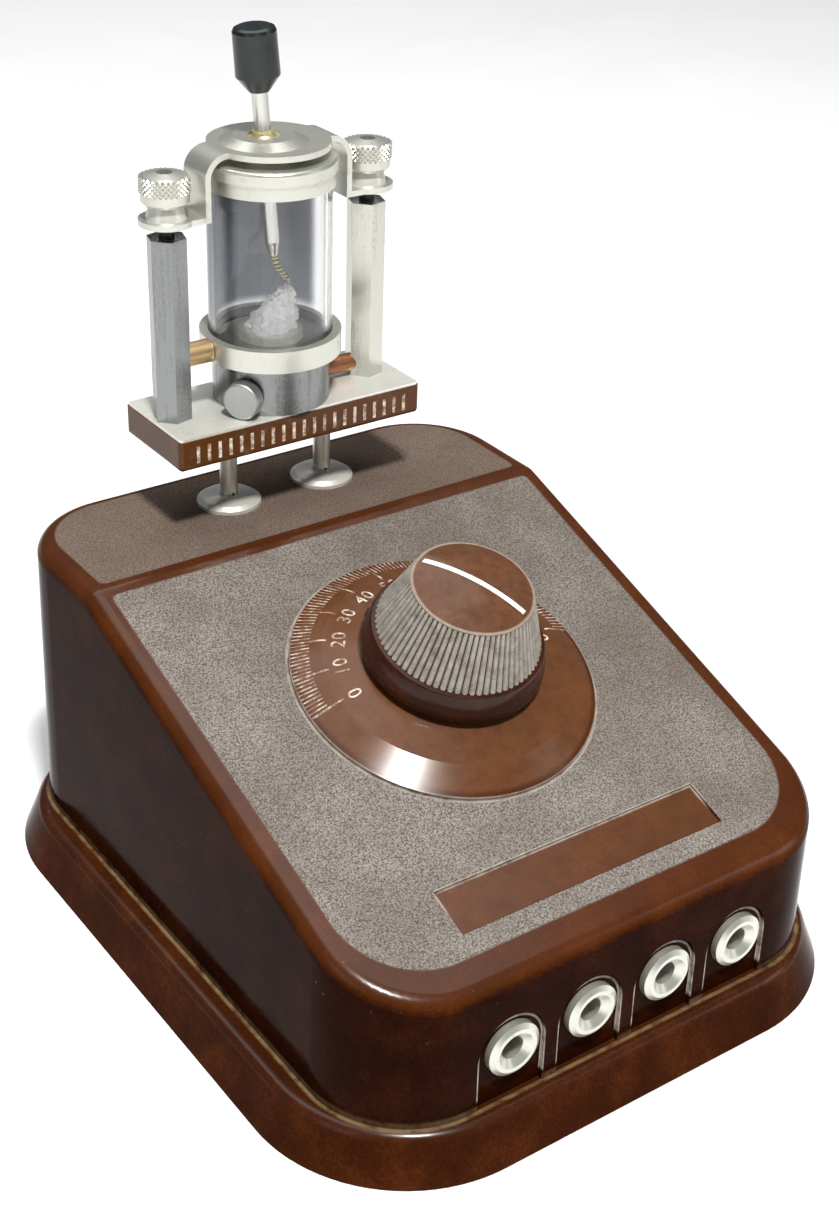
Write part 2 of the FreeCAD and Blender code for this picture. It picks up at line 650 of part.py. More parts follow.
def end_plate(label, z, centre_hole):
    plate = box(label + "_blank", plate_side, plate_side, plate_thick, z=z)
    holes = [cylinder(f"{label}_hole_{index}", 1.5, 6.0, x, y, z - 2.0)
             for index, (x, y) in enumerate(pillar_places())]
    centre = cylinder(label + "_centre", centre_hole, 6.0, z=z - 2.0)
    return on_slope(cut(label, plate, centre, *holes))


def capacitor():
    """Two end plates on four pillars, fixed vanes on the upper pillars, moving vanes on the shaft."""
    front_z = -wall - plate_thick
    stack = vane_pitch * (VANES + 1)
    rear_z = front_z - stack - plate_thick
    front = end_plate("capacitor_front_plate", front_z, bush_across / 2)
    rear = end_plate("capacitor_rear_plate", rear_z, shaft_across / 2 + shaft_gap)
    pillars = []
    for index, (x, y) in enumerate(pillar_places()):
        stem = cylinder(f"pillar_stem_{index}", 1.5, stack + 2 * plate_thick, x, y, rear_z)
        head = cylinder(f"pillar_head_{index}", 2.6, 1.4, x, y, rear_z - 1.4)
        pillars.append(fuse(f"pillar_{index}", stem, head))
    fixed = []
    for index in range(VANES + 1):
        z = front_z - stack + vane_pitch * (index + 0.5) - vane_thick / 2
        blank = box(f"fixed_vane_blank_{index}", plate_side - 1.0, plate_side / 2 - 2.5, vane_thick,
                    0, plate_side / 4 + 1.0, z)
        holes = [cylinder(f"fixed_vane_hole_{index}_{side}", 1.5, 4.0,
                          pillar_pitch * side, pillar_pitch / 2, z - 1.0) for side in (-0.5, 0.5)]
        middle = cylinder(f"fixed_vane_middle_{index}", 6.0, 4.0, z=z - 1.0)
        fixed.append(cut(f"fixed_vane_{index}", blank, middle, *holes))
    hub = cylinder("rotor_hub", 4.4, stack - 2.0, z=front_z - stack + 1.0)
    blades = []
    for index in range(VANES):
        z = front_z - stack + vane_pitch * (index + 1) - vane_thick / 2
        disc = cylinder(f"moving_vane_disc_{index}", vane_radius, vane_thick, z=z)
        bind(disc, Angle=180.0)
        blades.append(disc)
    rotor = cut("rotor_solid", fuse("rotor_blank", hub, *blades),
                cylinder("rotor_way", shaft_across / 2, stack + 10.0, z=front_z - stack - 5.0))
    place(rotor, 0, 0, 0, (0, 0, 1), knob_turn - 90.0)
    return (front, rear, on_slope(group("capacitor_pillars", *pillars)),
            on_slope(group("fixed_vanes", *fixed)), on_slope(group("moving_vanes", rotor)))


# ---------------------------------------------------------------- coil
def cheek_places():
    reach = former_length / 2 + cheek_thick / 2 - 1.0
    return [-reach, reach]


def coil():
    def along_x(item):
        return place(item, 0, coil_y, coil_z, (0, 1, 0), 90)

    former = along_x(ring_of("coil_former", former_across / 2, former_across / 2 - former_wall,
                             former_length - 2.0, -(former_length / 2) + 1.0))
    winding = along_x(ring_of("coil_winding", coil_radius, former_across / 2, winding_length,
                              -(winding_length / 2)))
    cheeks = []
    for label, x, side in zip(("left_coil_cheek", "right_coil_cheek"), cheek_places(), (1, -1)):
        foot = box(label + "_foot", cheek_thick, 24.0, coil_z - base_top_z, x, coil_y, base_top_z)
        disc = cylinder(label + "_disc", former_across / 2, cheek_thick, x - cheek_thick / 2, coil_y, coil_z,
                        (0, 1, 0), 90)
        spigot_x = x + side * cheek_thick / 2 - (0 if side > 0 else 5.0)
        spigot = cylinder(label + "_spigot", former_across / 2 - former_wall, 5.0, spigot_x, coil_y, coil_z,
                          (0, 1, 0), 90)
        way = cylinder(label + "_way", 1.0, 8.0, x, coil_y, base_top_z - 1.0)
        cheeks.append(cut(label, fuse(label + "_blank", foot, disc, spigot), way))
    screws = [flat_screw(f"cheek_screw_{index}", x, coil_y, 5.5, 1.0) for index, x in enumerate(cheek_places())]
    return (former, winding, *cheeks, group("cheek_screws", *screws))


# ---------------------------------------------------------------- detector
def detector_base():
    """Moulded block with rounded top edges and holes for pins, studs and the drum screw."""
    block = box("detector_block", base_length, base_depth, base_thick - cover_thick, 0, plug_y, base_z)
    top = number(cover_z)
    soft = rounded("detector_block_soft", block, 0.8, lambda edge, middle: middle.z < top - 0.01)
    tools = []
    for index, side in enumerate((-0.5, 0.5)):
        tools.append(cylinder(f"pin_way_{index}", pin_across / 2, 4.0, plug_pitch * side, plug_y, base_z - 1.0))
        tools.append(cylinder(f"post_way_{index}", stud_across / 2, 20.0, head_x + post_pitch * side, plug_y, base_z - 1.0))
    return cut("detector_base", soft, *tools)


def cover_plate(label, side):
    """Nickel cover on one half of the base, under its post."""
    length = (base_length - cover_gap) / 2 - 0.2
    sheet_metal = box(label + "_sheet", length, base_depth - 0.4, cover_thick,
                      side * (length + cover_gap), plug_y, cover_z)
    soft = rounded(label + "_soft", sheet_metal, 0.7, lambda edge, middle: upright(edge))
    way = cylinder(label + "_way", stud_across / 2, 4.0, head_x + post_pitch * side, plug_y, cover_z - 1.0)
    return cut(label, soft, way)


def plug_pin(index, side):
    x = plug_pitch * side
    nose = pin_across / 2
    stem = cylinder(f"pin_stem_{index}", nose, pin_length - 2.0 + 3.0, x, plug_y, base_z - pin_length + 2.0)
    tip = cone(f"pin_tip_{index}", nose - 0.8, nose, 2.0, x, plug_y, base_z - pin_length)
    pin = fuse(f"pin_{index}", stem, tip)
    slit = box(f"pin_slit_{index}", 0.5, 6.0, 12.0, x, plug_y, base_z - pin_length - 1.0)
    return cut(f"plug_pin_{index}", pin, slit)


def hexagonal_post(label, side):
    x = head_x + post_pitch * side
    body = hexagon(label + "_hex", post_flats, post_height, x, plug_y, top_z, (0, 0, 1), post_turn)
    radius = post_flats / math.sqrt(3.0)
    trim = cone(label + "_trim", radius + post_height, radius - 0.75, post_height + 0.75, x, plug_y, top_z)
    way = cylinder(label + "_way", stud_across / 2, post_height + 4.0, x, plug_y, top_z - 1.0)
    stay_z, stay_radius = (ring_z + ring_height / 2, 2.05) if side < 0 else (top_z + 2.4, 1.6)
    stay_x = x - 10.0 - side * 2 * (10.0 + stay_reach)
    stay_way = cylinder(label + "_stay_way", stay_radius, 20.0, stay_x, plug_y, stay_z, (0, 1, 0), 90)
    return cut(label, common(label + "_blank", body, trim), way, stay_way)


def post_studs():
    """A stud runs from the base through each post and carries the bridge's ear and nut."""
    studs = []
    for index, side in enumerate((-0.5, 0.5)):
        studs.append(cylinder(f"stud_{index}", stud_across / 2, base_thick + post_height + stud_reach - 1.0,
                              head_x + post_pitch * side, plug_y, base_z + 1.0))
    return group("post_studs", *studs)


def bridge():
    """Strap bent down at both sides, with a round plate in the middle and an ear at each end."""
    body = new("PartDesign::Body", "bridge_strap")
    inside = arm_offset - strap_thick
    rise = bridge_z + strap_thick
    profile = [(-post_x, ear_z), (-inside, ear_z), (-inside, bridge_z),
               (inside, bridge_z), (inside, ear_z), (post_x, ear_z),
               (post_x, ear_z + strap_thick), (arm_offset, ear_z + strap_thick), (arm_offset, rise),
               (-arm_offset, rise), (-arm_offset, ear_z + strap_thick), (-post_x, ear_z + strap_thick)]
    sketch = outline(body, "XZ_Plane", "bridge_profile", profile)
    pad = body.newObject("PartDesign::Pad", "bridge_pad")
    pad.Profile = sketch
    pad.SideType = "Symmetric"
    bind(pad, Length=strap_width)
    last = pad
    for name, radius, drop in (("bridge_outer", bend_radius, 0.0),
                               ("bridge_inner", bend_radius - strap_thick, strap_thick)):
        doc.recompute()
        bend = body.newObject("PartDesign::Fillet", name)
        bend.Base = (last, bend_edges(last.Shape, drop))
        bind(bend, Radius=radius)
        last = bend
    place(body, head_x, plug_y)
    plate = cylinder("bridge_disc", bridge_plate / 2, strap_thick, head_x, plug_y, bridge_z)
    ears = [cylinder(f"ear_{index}", 4.6, strap_thick, head_x + post_pitch * side, plug_y, ear_z)
            for index, side in enumerate((-0.5, 0.5))]
    ways = [cylinder(f"ear_way_{index}", stud_across / 2 + 0.2, 4.0, head_x + post_pitch * side, plug_y, ear_z - 1.5)
            for index, side in enumerate((-0.5, 0.5))]
    seat = ball("bridge_seat", liner_radius + seat_gap, pivot_x, plug_y, pivot_z)
    return cut("bridge", fuse("bridge_blank", body, plate, *ears), seat, *ways)


def bend_edges(shape, drop):
    """Names of the strap's two upper bend edges, drop below and inside its outer corner."""
    height, reach = number(bridge_z + strap_thick - drop), number(arm_offset - drop)

    def is_bend(edge, middle):
        return abs(middle.z - height) < 0.01 and abs(abs(middle.x) - reach) < 0.01 \
            and abs(middle.y) < 0.01
    return [f"Edge{index}" for index in edges_where(shape, is_bend)]


def glass_house():
    """Drum, seat ring, glass tube, cap and the crystal inside them."""
    drum = cut("drum", cylinder("drum_blank", drum_across / 2, drum_height, head_x, plug_y, top_z),
               cylinder("drum_hollow", drum_across / 2 - 2.0, drum_height, head_x, plug_y, top_z + drum_floor),
               lock_cutter("drum_screw_way", 1.3))
    ring_blank = cylinder("ring_blank", ring_across / 2, ring_height, head_x, plug_y, ring_z)
    spigot = cylinder("ring_spigot", drum_across / 2 - 2.0, 3.5, head_x, plug_y, ring_z - 3.5)
    groove = cylinder("glass_pocket", glass_across / 2 + glass_gap, ring_height, head_x, plug_y, glass_z)
    stem_way = cylinder("stem_way", CUP_STEM, 20.0, head_x, plug_y, top_z)
    ring = cut("glass_seat_ring", fuse("ring_solid", ring_blank, spigot), groove, stem_way)
    tube_height = cap_z - glass_z + 2.8
    tube = cut("glass_tube", cylinder("tube_blank", glass_across / 2, tube_height, head_x, plug_y, glass_z),
               cylinder("tube_hollow", glass_across / 2 - glass_wall, tube_height + 2.0, head_x, plug_y,
                        glass_z - 1.0))
    skirt = cylinder("cap_skirt", cap_across / 2, 2.5, head_x, plug_y, cap_z)
    rim = cylinder("cap_upper", cap_rim / 2, cap_height - 2.5, head_x, plug_y, cap_z + 2.5)
    cap = cut("glass_cap", rounded("cap_solid", fuse("cap_fused", skirt, rim), 0.6, is_cap_top),
              cylinder("cap_pocket", glass_across / 2 + glass_gap, 2.8 + 1.0, head_x, plug_y, cap_z - 1.0),
              cylinder("cap_way", 4.6, 10.0, pivot_x, plug_y, cap_z))
    return drum, ring, tube, cap


def is_cap_top(edge, middle):
    top = number(cap_z + cap_height)
    return abs(middle.z - top) < 0.01 and edge.Closed


LOCK_TURN = -145.0
CUP_STEM = 2.2
CUP_DISH = 1.4


def lock_cutter(label, radius):
    """Radial cylinder through the drum's wall for the clamp screw."""
    way = cylinder(label + "_way", radius, 20.0, CUP_STEM + 2.0, 0, 3.4, (0, 1, 0), 90)
    return place(group(label, way), head_x, plug_y, top_z, (0, 0, 1), LOCK_TURN)


def clamp_screw():
    """Flat-headed thumb screw in the drum's side that holds the crystal's stem."""
    head = cylinder("clamp_head", 3.3, 2.4, drum_across / 2 + 0.4, 0, 3.4, (0, 1, 0), 90)
    shank = cylinder("clamp_shank", 1.25, drum_across / 2 - CUP_STEM + 1.4, CUP_STEM + 0.2, 0, 3.4,
                     (0, 1, 0), 90)
    screw = rounded("clamp_solid", fuse("clamp_fused", head, shank), 0.4,
                    lambda edge, middle: edge.Closed and middle.x > number(drum_across) / 2 + 2.0)
    return place(group("clamp_screw", screw), head_x, plug_y, top_z, (0, 0, 1), LOCK_TURN)


def side_studs():
    """Fibre studs that stay the seat ring and the drum to the posts."""
    left_length = post_x - stay_reach - ring_across / 2
    left = cylinder("left_stay_stud", 2.05, left_length, head_x - (post_x - stay_reach), plug_y,
                    ring_z + ring_height / 2, (0, 1, 0), 90)
    right_length = post_x - stay_reach - drum_across / 2
    right = cylinder("right_stay_stud", 1.6, right_length, head_x + drum_across / 2, plug_y, top_z + 2.4,
                     (0, 1, 0), 90)
    return left, right


def crystal():
    """Broken lump of galena with a peak to the right, standing in a shallow cup."""
    floor = number(glass_z) + CUP_DISH
    across, middle = number(head_x), number(plug_y)
    low = [(-3.6, -2.6), (0.4, -3.6), (4.2, -1.8), (4.4, 2.0), (0.6, 3.4), (-3.4, 2.4)]
    high = [(-1.9, -1.4), (1.2, -1.9), (3.8, -0.8), (4.0, 0.8), (1.4, 1.8), (-1.6, 1.2)]
    rise = [3.6, 4.6, 6.3, 6.0, 4.4, 3.2]
    ring_low = [Vector(across + x, middle + y, floor) for x, y in low]
    ring_high = [Vector(across + x, middle + y, floor + up) for (x, y), up in zip(high, rise)]
    peak = Vector(across + 3.2, middle, floor + 6.7)
    faces = [Part.Face(Part.makePolygon(ring_low + ring_low[:1]))]
    for index in range(6):
        after = (index + 1) % 6
        corners = [ring_low[index], ring_low[after], ring_high[after], ring_high[index]]
        faces.append(Part.Face(Part.makePolygon([corners[0], corners[1], corners[2], corners[0]])))
        faces.append(Part.Face(Part.makePolygon([corners[0], corners[2], corners[3], corners[0]])))
        faces.append(Part.Face(Part.makePolygon([ring_high[index], ring_high[after], peak, ring_high[index]])))
    item = new("Part::Feature", "crystal")
    solid = Part.Solid(Part.Shell(faces))
    if solid.Volume < 0:
        solid.reverse()
    item.Shape = solid
    return item


def crystal_cup():
    dish = cylinder("cup_dish", 5.6, CUP_DISH, head_x, plug_y, glass_z)
    stem = cylinder("cup_stem", CUP_STEM, glass_z - top_z - drum_floor, head_x, plug_y, top_z + drum_floor)
    return fuse("crystal_cup", dish, stem)


def ball_joint():
    """Housing, liner, ball and sleeve; all spheres share the pivot's centre."""
    flange = cylinder("housing_flange", 5.6, bridge_z - cap_z - cap_height, pivot_x, plug_y, cap_z + cap_height)
    boss = cylinder("housing_boss", 4.4, 2.4, pivot_x, plug_y, cap_z + cap_height - 2.4)
    housing = cut("ball_housing", fuse("housing_blank", flange, boss),
                  ball("housing_seat", liner_radius + seat_gap, pivot_x, plug_y, pivot_z),
                  cone("housing_way", 3.6, 2.6, 3.0, pivot_x, plug_y, cap_z + cap_height - 3.0))
    retainer = cut("ball_retainer",
                   cone("retainer_blank", 7.6, 5.2, 0.9, pivot_x, plug_y, bridge_z + strap_thick),
                   ball("retainer_seat", liner_radius + seat_gap, pivot_x, plug_y, pivot_z))
    liner_ball = common("liner_zone", ball("liner_sphere", liner_radius), cylinder("liner_band", 6.0, 2.4, z=-1.2))
    liner = at_pivot(cut("ball_liner", liner_ball, ball("liner_inside", ball_radius + seat_gap)))
    joint_ball = at_pivot(cut("pivot_ball", ball("joint_sphere", ball_radius),
                              cylinder("joint_way", rod_across / 2 + 0.4, 10.0, z=-5.0)))
    sleeve = cut("rod_sleeve", cylinder("sleeve_blank", rod_across / 2 + 0.36, 5.0, z=-2.5),
                 cylinder("sleeve_way", rod_across / 2 + 0.04, 7.0, z=-3.5))
    return housing, retainer, liner, joint_ball, at_pivot(sleeve)


def rod_and_handle():
    rod = cylinder("rod_stem", rod_across / 2, handle_low + 17.0, z=-17.0)
    tip = cone("rod_tip", 0.8, rod_across / 2, 2.6, z=-19.6)
    rod = at_pivot(fuse("detector_rod", rod, tip))
    half = handle_across / 2
    handle = turned("handle_turned", [
        (rod_across / 2, handle_low - 1.0), (rod_across / 2 + 0.4, handle_low - 1.0), (half, handle_low + 1.6),
        (half - 0.1, handle_low + handle_length - 0.8), (half - 0.35, handle_low + handle_length - 0.3),
        (half - 0.9, handle_low + handle_length - 0.05), (rod_across / 2, handle_low + handle_length)])
    core = cylinder("handle_core", rod_across / 2, handle_length, z=handle_low)
    return rod, at_pivot(fuse("handle", handle, core))


def whisker():
    """Fine springy wire from the rod's tip to just over the crystal."""
    start = Vector(0, 0, -19.62)
    points = [start, Vector(0.1, 0, -21.0), Vector(1.0, -0.2, -22.8), Vector(2.0, -0.3, -24.2),
              Vector(2.6, -0.3, -25.5)]
    item = new("Part::Feature", "whisker")
    item.Shape = swept(points, 0.3)
    return at_pivot(item)


def swept(points, radius):
    """A round tube along straight runs joined by tangent arcs."""
    edges, last = [], points[0]
    for before, corner, after in zip(points, points[1:], points[2:]):
        back, ahead = (before - corner), (after - corner)
        turn = math.pi - back.getAngle(ahead)
        reach = 0.45 * min(back.Length, ahead.Length)
        back.normalize()
        ahead.normalize()
        first, second = corner + back * reach, corner + ahead * reach
        middle_way = (back + ahead).normalize()
        bend = reach / math.tan(turn / 2)
        top = corner + middle_way * (bend / math.cos(turn / 2) - bend)
        edges += [Part.makeLine(last, first), Part.Arc(first, top, second).toShape()]
        last = second
    edges.append(Part.makeLine(last, points[-1]))
    path = Part.Wire(edges)
    ring = Part.Wire([Part.Circle(points[0], points[1] - points[0], radius).toShape()])
    return path.makePipeShell([ring], True, False)


def boss_washers():
    rings = []
    for index, side in enumerate((-0.5, 0.5)):
        ring = cut(f"washer_{index}", cone(f"washer_blank_{index}", 3.4, 2.8, 2.4, head_x + post_pitch * side, plug_y,
                                           ear_z + strap_thick),
                   cylinder(f"washer_way_{index}", stud_across / 2 + 0.05, 6.0, head_x + post_pitch * side, plug_y, ear_z))
        rings.append(ring)
    return group("ear_washers", *rings)


def thumb_nut(label, side):
    """Knurled nut with a domed top; its fine ribs are left to the surface."""
    half = thumb_across / 2
    nut = turned(label + "_turned", [
        (stud_across / 2 + 0.05, 0), (half - 0.5, 0), (half, 0.5), (half, thumb_height - 0.9),
        (half - 0.5, thumb_height - 0.4), (stud_across / 2 + 0.05, thumb_height)])
    return place(group(label, nut), head_x + post_pitch * side, plug_y, thumb_z)


# ---------------------------------------------------------------- hook-up wires
def hookup_wires():
    """Bare bus wires: outer front tags to the coil's ends, detector tags to the coil's top."""
    radius = number(hookup_across) / 2
    coil_middle, coil_axis = number(coil_y), number(coil_z)
    coil_skin = number(coil_radius) + radius
    tag_y = number(niche_y + behind + tag_thick) + radius
    tag_z = number(socket_height) - 9.0
    deck_tag_z = number(deck_height - wall - tag_thick) - radius
    wires = []
    for side in (-1, 1):
        x, end_x = 1.5 * side * number(socket_pitch), side * (number(winding_length) / 2 - 2.0)
        wires.append(swept([Vector(x, tag_y, tag_z), Vector(x, tag_y + 14.0, tag_z - 2.0),
                            Vector(x, coil_middle - coil_skin - 16.0, tag_z - 1.0),
                            Vector(end_x, coil_middle - coil_skin - 5.0, coil_axis - 3.0),
                            Vector(end_x, coil_middle - coil_skin, coil_axis)], radius))
        x, end_x = side * number(plug_pitch) / 2, side * 14.0
        wires.append(swept([Vector(x, number(plug_y) - 9.0, deck_tag_z),
                            Vector(x, number(plug_y) - 9.5, deck_tag_z - 7.0),
                            Vector(end_x, coil_middle + 0.6, coil_axis + coil_skin + 5.0),
                            Vector(end_x, coil_middle, coil_axis + coil_skin)], radius))
    item = new("Part::Feature", "hookup_wires")
    item.Shape = Part.makeCompound(wires)
    return item


# ---------------------------------------------------------------- assembly
NODES = [case_shell(), base_plate(), base_screws()]
NODES += [front_socket(index) for index in range(4)]
NODES += [*front_fixings(), *deck_sockets()]
NODES += [tuning_knob(), grub_screw(), *bush_and_shaft(), *capacitor(), *coil()]
NODES += [detector_base(), cover_plate("left_cover", -0.5), cover_plate("right_cover", 0.5)]
NODES += [group("plug_pins", plug_pin(0, -0.5), plug_pin(1, 0.5))]
NODES += [hexagonal_post("left_post", -0.5), hexagonal_post("right_post", 0.5), post_studs(), bridge()]
NODES += [*glass_house(), clamp_screw(), *side_studs(), crystal(), crystal_cup(), *ball_joint()]
NODES += [*rod_and_handle(), whisker(), boss_washers()]
NODES += [thumb_nut("left_thumb_nut", -0.5), thumb_nut("right_thumb_nut", 0.5), hookup_wires()]

doc.recompute()

for item in doc.Objects:
    if "Invalid" in item.State or "Error" in item.State:
        raise RuntimeError(f"{item.Label}: {item.State}")
for item in NODES:
    if item.Shape.isNull() or not item.Shape.isValid() or not item.Shape.Solids:
        raise RuntimeError(f"{item.Label}: its shape is empty or invalid")

os.makedirs("parts", exist_ok=True)
for item in NODES:
    item.Shape.exportStep(f"parts/{item.Label}.step")
print(len(NODES), "nodes")
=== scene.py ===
"""Looks of a bakelite crystal radio receiver with a plug-in crystal detector.

Metres, in the receiver's own frame. Profiles and patterns are in millimetres and scaled once.
"""

import json
import math

import bpy
from mathutils import Matrix, Vector


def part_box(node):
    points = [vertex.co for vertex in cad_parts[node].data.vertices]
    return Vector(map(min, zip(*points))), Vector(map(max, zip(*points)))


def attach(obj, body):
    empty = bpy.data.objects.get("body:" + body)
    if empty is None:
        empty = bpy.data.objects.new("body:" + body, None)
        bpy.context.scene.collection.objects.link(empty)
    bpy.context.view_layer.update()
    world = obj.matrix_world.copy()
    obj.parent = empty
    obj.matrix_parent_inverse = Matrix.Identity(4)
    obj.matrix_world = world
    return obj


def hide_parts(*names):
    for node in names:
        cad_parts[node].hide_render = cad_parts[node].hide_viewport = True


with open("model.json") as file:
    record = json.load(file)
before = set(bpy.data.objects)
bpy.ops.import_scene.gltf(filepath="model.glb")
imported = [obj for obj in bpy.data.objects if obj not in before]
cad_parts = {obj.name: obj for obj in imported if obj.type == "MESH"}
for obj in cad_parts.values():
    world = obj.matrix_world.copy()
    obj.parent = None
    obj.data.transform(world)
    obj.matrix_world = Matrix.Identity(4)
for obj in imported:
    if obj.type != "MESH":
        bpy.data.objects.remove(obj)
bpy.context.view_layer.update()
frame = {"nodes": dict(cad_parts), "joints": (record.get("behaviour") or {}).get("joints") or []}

MM = 0.001
TURN = 2 * math.pi
NODES = frame["nodes"]
JOINTS = {joint["name"]: joint for joint in frame["joints"]}

# ---------------------------------------------------------------- sizes, in millimetres
# Body: half width, half depth and corner radius at its foot; heights of the plinth and of the deck.
BODY_HALF_WIDE, BODY_HALF_DEEP, BODY_CORNER = 48.45, 60.55, 17.7
PLINTH_HIGH, DECK_HIGH = 8.0, 60.75
# Stippled panels: half sizes, the slope's below the dial's centre and the deck's behind the middle.
PANEL_HALF_WIDE, SLOPE_PANEL_HALF, DECK_PANEL_HALF = 43.4, 42.4, 13.4
SLOPE_PANEL_DOWN, DECK_PANEL_BACK = 5.9, 42.85
FOLD_CORNER, FRONT_CORNER, REAR_CORNER = 1.2, 14.0, 12.2
# Label recess on the slope, below the dial's centre.
LABEL_HALF_WIDE, LABEL_HALF_TALL, LABEL_CORNER, LABEL_DOWN = 26.1, 4.15, 0.35, 40.35
# Arched niches of the front sockets.
SOCKET_PITCH, NICHE_HALF_WIDE, NICHE_HALF_TALL, NICHE_MIDDLE, NICHE_ARCH = 15.3, 6.25, 12.0, 11.0, 6.2
# Dial: (radius, height over the slope) of its lip, its shoulder and the knob's seat.
DIAL_LIP, DIAL_SHOULDER, DIAL_SEAT = (26.3, 0.6), (21.4, 3.0), (14.0, 5.0)
# Knob: its rim and the shallow dome on it.
RIM_RADIUS, RIM_FOOT = 10.1, 20.9
DOME_RADIUS, DOME_FOOT, DOME_RISE = 10.0, 21.35, 1.75
# Glass tube: its foot's height and its axis's place towards the back.
glass_low, glass_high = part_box("glass_tube")
GLASS_FOOT, GLASS_MIDDLE = glass_low.z / MM, (glass_low.y + glass_high.y) / 2 / MM
WIRE_PITCH = 0.5


# ---------------------------------------------------------------- nodes and their arithmetic
class Tap:
    """An output socket that can be used in arithmetic; each operation adds a Math node."""

    def __init__(self, bench, socket):
        self.bench = bench
        self.socket = socket

    def __add__(self, other):
        return self.bench.maths("ADD", self, other)

    def __sub__(self, other):
        return self.bench.maths("SUBTRACT", self, other)

    def __rsub__(self, other):
        return self.bench.maths("SUBTRACT", other, self)

    def __mul__(self, other):
        return self.bench.maths("MULTIPLY", self, other)

    def __truediv__(self, other):
        return self.bench.maths("DIVIDE", self, other)

    def __mod__(self, other):
        return self.bench.maths("FLOORED_MODULO", self, other)

    def __abs__(self):
        return self.bench.maths("ABSOLUTE", self)

    __radd__ = __add__
    __rmul__ = __mul__

    def least(self, other):
        return self.bench.maths("MINIMUM", self, other)

    def most(self, other):
        return self.bench.maths("MAXIMUM", self, other)

    def root(self):
        return self.bench.maths("SQRT", self)

    def floor(self):
        return self.bench.maths("FLOOR", self)

    def fade(self, low, high):
        """0 at low and 1 at high, smoothly in between; low may be the larger."""
        return self.bench.add("ShaderNodeMapRange", {"Value": self, "From Min": low, "From Max": high},
                              interpolation_type="SMOOTHSTEP")


class Bench:
    """Adds nodes to one tree."""

    def __init__(self, tree):
        self.tree = tree

    def add(self, kind, sockets=None, output=0, **settings):
        node = self.tree.nodes.new(kind)
        for name, value in settings.items():
            if name == "stops":
                self.set_stops(node.color_ramp, value)
            else:
                setattr(node, name, value)
        for key, value in (sockets or {}).items():
            if isinstance(value, Tap):
                self.tree.links.new(value.socket, node.inputs[key])
            else:
                node.inputs[key].default_value = value
        return Tap(self, node.outputs[output]) if node.outputs else None

    @staticmethod
    def set_stops(ramp, stops):
        while len(ramp.elements) < len(stops):
            ramp.elements.new(0.5)
        for element, (where, colour) in zip(ramp.elements, stops):
            element.position = where
            element.color = (*colour, 1.0)

    def maths(self, operation, *values):
        return self.add("ShaderNodeMath", dict(enumerate(values)), operation=operation)


class Finish(Bench):
    """A Principled material whose patterns read the piece's own Object coordinates."""

    def __init__(self, name):
        self.material = bpy.data.materials.new(name)
        self.material.use_nodes = True
        super().__init__(self.material.node_tree)
        self.tree.nodes.clear()
        self.place = self.add("ShaderNodeTexCoord", output="Object")

    def noise(self, grain, detail=3.0, rough=0.5, stretch=(1, 1, 1), seed=0.0):
        """Noise from 0 to 1 with lumps about grain millimetres across."""
        where = self.add("ShaderNodeMapping", {"Vector": self.place, "Scale": stretch,
                                               "Location": (seed, seed * 0.7, -seed)})
        return self.add("ShaderNodeTexNoise", {"Vector": where, "Scale": 1.0 / (grain * MM),
                                               "Detail": detail, "Roughness": rough})

    def ramp(self, factor, *stops):
        return self.add("ShaderNodeValToRGB", {"Fac": factor}, stops=stops)

    def blend(self, factor, low, high):
        low, high = (value if isinstance(value, Tap) else (*value, 1.0) for value in (low, high))
        return self.add("ShaderNodeMix", {0: factor, 6: low, 7: high}, output=2, data_type="RGBA")

    def split(self, vector):
        """The three parts of a vector."""
        node = self.tree.nodes.new("ShaderNodeSeparateXYZ")
        self.tree.links.new(vector.socket, node.inputs[0])
        return [Tap(self, socket) for socket in node.outputs]

    def millimetres(self):
        """x, y and z of the piece, in millimetres."""
        return [value * 1000.0 for value in self.split(self.place)]

    def slope_frame(self):
        """Across, up the slope and out of it, in millimetres from the dial's centre."""
        x, y, z = self.millimetres()
        origin = [value * 1000.0 for value in JOINTS["tuning_turn"]["pos_m"]]
        _, lean, rise = JOINTS["tuning_turn"]["axis"]
        y, z = y - origin[1], z - origin[2]
        return x, y * rise - z * lean, y * lean + z * rise

    def looks_up(self):
        """How far a face looks up, 1 for a level one."""
        return self.split(self.add("ShaderNodeNewGeometry", output="Normal"))[2]

    def close(self, colour, roughness, metallic=0.0, height=None, shine=None, fixed=None):
        """End the material. height is its relief in millimetres, fixed what is the same all over."""
        sockets = {"Base Color": colour, "Roughness": roughness, "Metallic": metallic, **(fixed or {})}
        if not isinstance(colour, Tap):
            sockets["Base Color"] = (*colour, 1.0)
        if shine is not None:
            sockets["Coat Weight"] = shine
        if height is not None:
            relief = {"Strength": 1.0, "Distance": MM, "Height": height}
            sockets["Normal"] = self.add("ShaderNodeBump", relief)
        surface = self.add("ShaderNodeBsdfPrincipled", sockets)
        self.add("ShaderNodeOutputMaterial", {"Surface": surface})
        return self.material


# ---------------------------------------------------------------- finishes
BROWN_DEEP, BROWN, BROWN_WARM = (0.009, 0.0020, 0.0008), (0.028, 0.0062, 0.0016), (0.072, 0.018, 0.0045)
# The case reflects little head-on, under a soft coat; the detector's base and the knob are plainer.
WALLS = {"IOR": 1.06, "Coat IOR": 1.5, "Coat Roughness": 0.24}
BAKELITE = {"IOR": 1.24}
DUST = (0.50, 0.45, 0.39)


